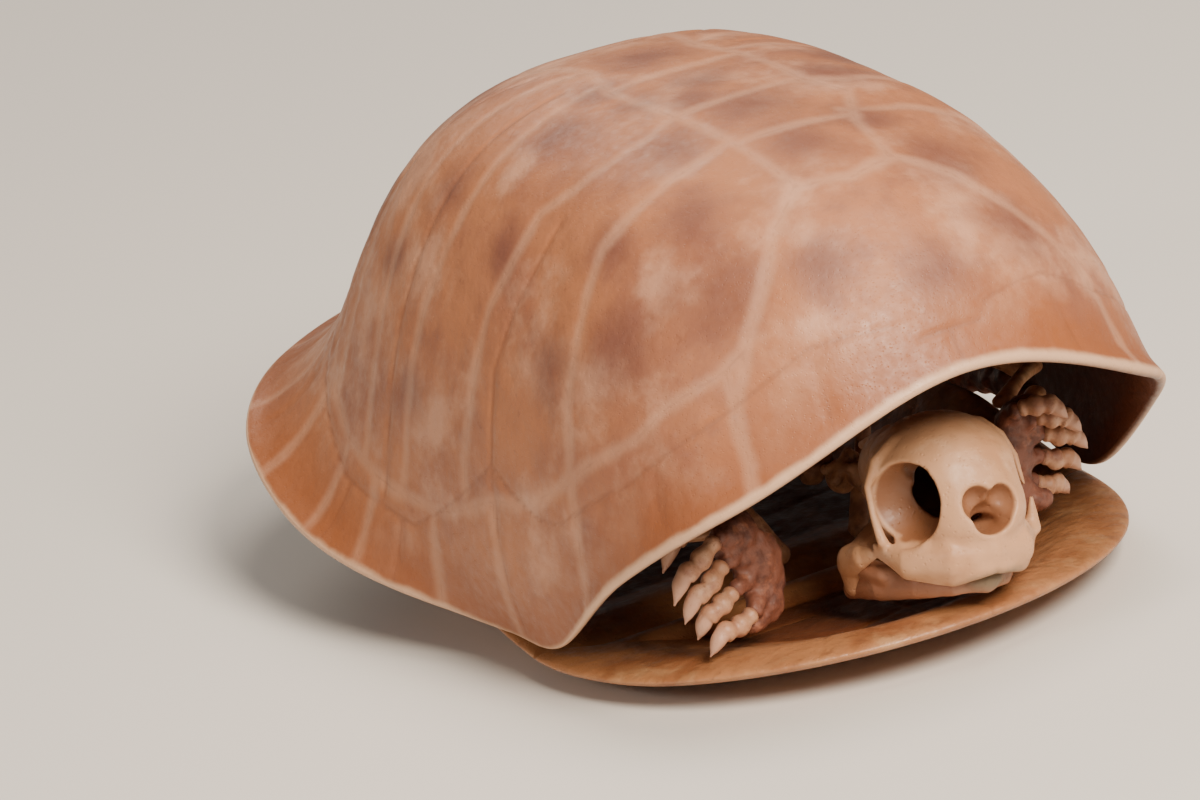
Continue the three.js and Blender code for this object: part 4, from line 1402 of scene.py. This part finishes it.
@dataclass
class Hindquarters:
    """Hip girdle, legs and toes."""

    hip: Point = (12, 26, 18)
    toes: int = 4

    def pelvis(self) -> Surface:
        """Builds the hip girdle: one open ring of fused bones."""
        forms = [Rod([(0, 11, 8.4), (0, 24, 8), (0, 38, 8.6)], (1.6, 1.2, 1.6), (1, 1, 0.85))]
        for side in Side:
            at = side.path
            forms += [
                Rod(at([self.hip, (13, 30, 32), (9, 36, 45), (5.2, 37, 51)]), (3.0, 1.6, 1.7, 2.0)),
                Rod(at([self.hip, (9, 19, 12), (1, 13, 8.4)]), (1.8, 1.3, 1.6)),
                Rod(at([self.hip, (9, 32, 12.5), (1, 36, 8.6)]), (1.8, 1.3, 1.6)),
                Rod(at([(4, 14.5, 9), (10, 10.4, 8), (13.5, 8, 7.8)]), (1.3, 1.3, 1.3)),
            ]
        return Grown(forms, width=1.4, cell=0.42, rough=0.07, seed=61).surface()

    def leg(self, side: Side, name: str, bone: bpy.types.Material, digit: bpy.types.Material,
            ligament: bpy.types.Material) -> int:
        """Builds and dresses the leg of one side.

        Returns:
            How many triangles it has.
        """
        at = side.path
        total = 0
        for title, path, girth, shaft in (
            ("femur", ((17.2, 24, 17.6), (27, 15.5, 17.6), (35.4, 5.6, 15)), 3.0, 1.7),
            ("tibia", ((34.6, 10.6, 12), (31, 18, 10.4), (25.4, 27, 9.4)), 1.9, 1.1),
            ("fibula", ((38.6, 10.4, 13.6), (35, 19, 13.4), (28.6, 28.4, 12)), 1.3, 0.8),
        ):
            made = long_bone(*at(path), girth, shaft, 62)
            total += add_piece(f"{title}_bone_{name}", made, bone, Slot.LIMB, f"{title}_{name}")
        x, y, z = side.place((25, 32.4, 8.6))
        ankle = Grown(
            [Ball((x, y, z), (3.0, 2.2, 2.1)), Ball((x + 1.2, y - 0.6, z + 0.5), (1.6, 1.5, 1.5)),
             Ball((x - 1.4, y + 0.5, z - 0.2), (1.5, 1.5, 1.5))],
            width=0.6, cell=0.22, rough=0.15, rough_mm=1.5, seed=63,
        ).surface()
        total += add_piece(f"ankle_mass_{name}", ankle, ligament, Slot.LIGAMENT, f"tarsus_{name}")
        for i in range(self.toes):
            apart = i - (self.toes - 1) / 2
            longer = 2.4 - apart * apart
            places = at([
                (24.4 + apart * 2.7, 37.2, 8.2), (23 + apart * 3.3, 41 + longer, 8.6),
                (21 + apart * 4.2, 45.4 + longer, 5.8),
            ])
            made = Digit(*places, 1.3).surface(70 + i)
            total += add_piece(f"toe_bone_{name}_{i + 1}", made, digit, Slot.LIMB, f"toe_{name}_{i + 1}")
        return total

    def build(self, bone: bpy.types.Material, digit: bpy.types.Material,
              ligament: bpy.types.Material) -> None:
        """Builds and dresses the hindquarters."""
        total = add_piece("pelvis_bone", self.pelvis(), bone, Slot.LIMB, "pelvis")
        for side in Side:
            total += self.leg(side, side.name.lower(), bone, digit, ligament)
        LOG.info("hindquarters: %d triangles", total)


# Studio


@dataclass
class Studio:
    """Pale floor, soft light and the camera at the photograph's angle."""

    azimuth: float = -25.97
    elevation: float = 19.43
    roll: float = -8.83
    distance: float = 944.0
    lens: float = 213.3
    aim: Point = (0, -3.85, 1.5)
    across: float = -17.1
    upward: float = 22.6
    # Lights: azimuth, elevation, distance and width in mm, power in watts, tint
    lights: tuple = (
        ("key", 4, 42, 800, 360, 11.0, "#fff0de"),
        ("top", 50, 74, 800, 450, 4.0, "#fff2e4"),
        ("side", -76, 29, 900, 180, 1.4, "#fff0e2"),
        ("rear", 170, 40, 1000, 500, 2.2, "#fff3e6"),
    )

    @staticmethod
    def direction(azimuth: float, elevation: float) -> Vector:
        """Returns the unit vector towards an azimuth and elevation."""
        a, e = math.radians(azimuth), math.radians(elevation)
        return Vector((math.sin(a) * math.cos(e), -math.cos(a) * math.cos(e), math.sin(e)))

    def camera(self) -> None:
        """Adds the camera."""
        back = self.direction(self.azimuth, self.elevation)
        right = Vector((math.cos(math.radians(self.azimuth)), math.sin(math.radians(self.azimuth)), 0))
        up = back.cross(right)
        roll = math.radians(self.roll)
        x = math.cos(roll) * right + math.sin(roll) * up
        y = -math.sin(roll) * right + math.cos(roll) * up
        eye = self.distance * back + self.across * right + self.upward * up + Vector(self.aim)
        data = bpy.data.cameras.new("camera")
        data.lens, data.sensor_width = self.lens, 36.0
        data.clip_start, data.clip_end = 0.05, 50.0
        camera = bpy.data.objects.new("camera", data)
        camera.matrix_world = Matrix.Translation(eye * MM) @ Matrix((x, y, back)).transposed().to_4x4()
        bpy.context.scene.collection.objects.link(camera)
        bpy.context.scene.camera = camera

    def build(self) -> None:
        """Builds floor, lights, world and camera."""
        reach = 6.0
        mesh = bpy.data.meshes.new("floor")
        corners = [(-reach, -reach, 0), (reach, -reach, 0), (reach, reach, 0), (-reach, reach, 0)]
        mesh.from_pydata(corners, [], [(0, 1, 2, 3)])
        paper = bpy.data.materials.new("matt_paper")
        paper.use_nodes = True
        sheet = paper.node_tree.nodes["Principled BSDF"]
        sheet.inputs["Base Color"].default_value = linear("#dcd8d2")
        sheet.inputs["Roughness"].default_value = 0.9
        mesh.materials.append(paper)
        floor = bpy.data.objects.new("floor", mesh)
        bpy.context.scene.collection.objects.link(floor)
        for name, azimuth, elevation, distance, width, power, tint in self.lights:
            data = bpy.data.lights.new(name, "AREA")
            data.shape, data.size, data.energy = "DISK", width * MM, power
            data.color = linear(tint)[:3]
            light = bpy.data.objects.new(name, data)
            way = self.direction(azimuth, elevation)
            light.location = way * distance * MM + Vector((0, 0, 0.02))
            light.rotation_euler = way.to_track_quat("Z", "Y").to_euler()
            bpy.context.scene.collection.objects.link(light)
        world = bpy.data.worlds.new("studio")
        world.use_nodes = True
        world.node_tree.nodes["Background"].inputs["Color"].default_value = linear("#e6e2dc")
        world.node_tree.nodes["Background"].inputs["Strength"].default_value = 0.24
        bpy.context.scene.world = world
        self.camera()


ARMS = (
    Arm(
        Side.RIGHT, "right", (-36, -21, 21), (-19.8, -33.6, 20.6), (-18.6, -36.4, 14.8),
        (
            ((-22.4, -34.6, 23.6), (-26.6, -35, 21.6), (-31.6, -36, 17.6)),
            ((-24.4, -38.2, 20.8), (-28.4, -39.1, 18.4), (-32.5, -39.6, 14.4)),
            ((-24, -38.4, 17.4), (-27.6, -39.6, 15.2), (-31.5, -39.8, 11.6)),
            ((-23.4, -39, 13.6), (-26.7, -39.9, 12.2), (-29.8, -39.3, 8.8)),
            ((-21.6, -40, 10.3), (-24.8, -40.9, 9.4), (-29.5, -41.5, 7)),
        ),
    ),
    Arm(
        Side.LEFT, "left", (36, -20, 21), (21.4, -33, 22), (19.6, -36.4, 18),
        (
            ((20.2, -39.6, 25), (22.4, -41, 25.2), (26, -42.4, 22.6)),
            ((22.8, -39, 23), (25, -39.8, 22.4), (28.6, -40.8, 19.6)),
            ((24.4, -37.6, 20), (26.8, -38.2, 19), (30.4, -38.6, 16.2)),
            ((24.4, -36.6, 16.6), (26.6, -36.8, 15.4), (30.2, -36.6, 12.8)),
            ((23.4, -35.8, 13), (25.4, -35.6, 11.8), (29, -34.8, 9.4)),
        ),
    ),
)
NECK = Column(
    "neck_vertebra",
    ((8, -22, 15.4), (5.4, -15.6, 14.4), (1.5, -10, 17), (0, -6, 24), (0, -8.5, 33), (0, -16, 42),
     (0, -25, 50), (0, -31.5, 55)),
    8, 2.4, 2.7,
)
TAIL = Column(
    "tail_vertebra", ((0, 41.5, 51), (0, 45.5, 43), (0, 47, 34), (0, 46, 25), (0, 43, 17)), 6, 2.2, 1.1,
)


def main() -> None:
    """Builds the studio and the skeleton."""
    logging.basicConfig(level=logging.INFO)
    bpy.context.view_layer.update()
    Studio().build()
    bone, digit, ligament = LIMB_BONE.build(), DIGIT_BONE.build(), LIGAMENT.build()
    UpperShell().build(bone)
    BellyShell().build(ligament)
    Head().build()
    for column in (NECK, TAIL):
        column.build(bone)
    for arm in ARMS:
        arm.build(bone, digit, ligament)
    Hindquarters().build(bone, digit, ligament)


if __name__ == "__main__":
    main()
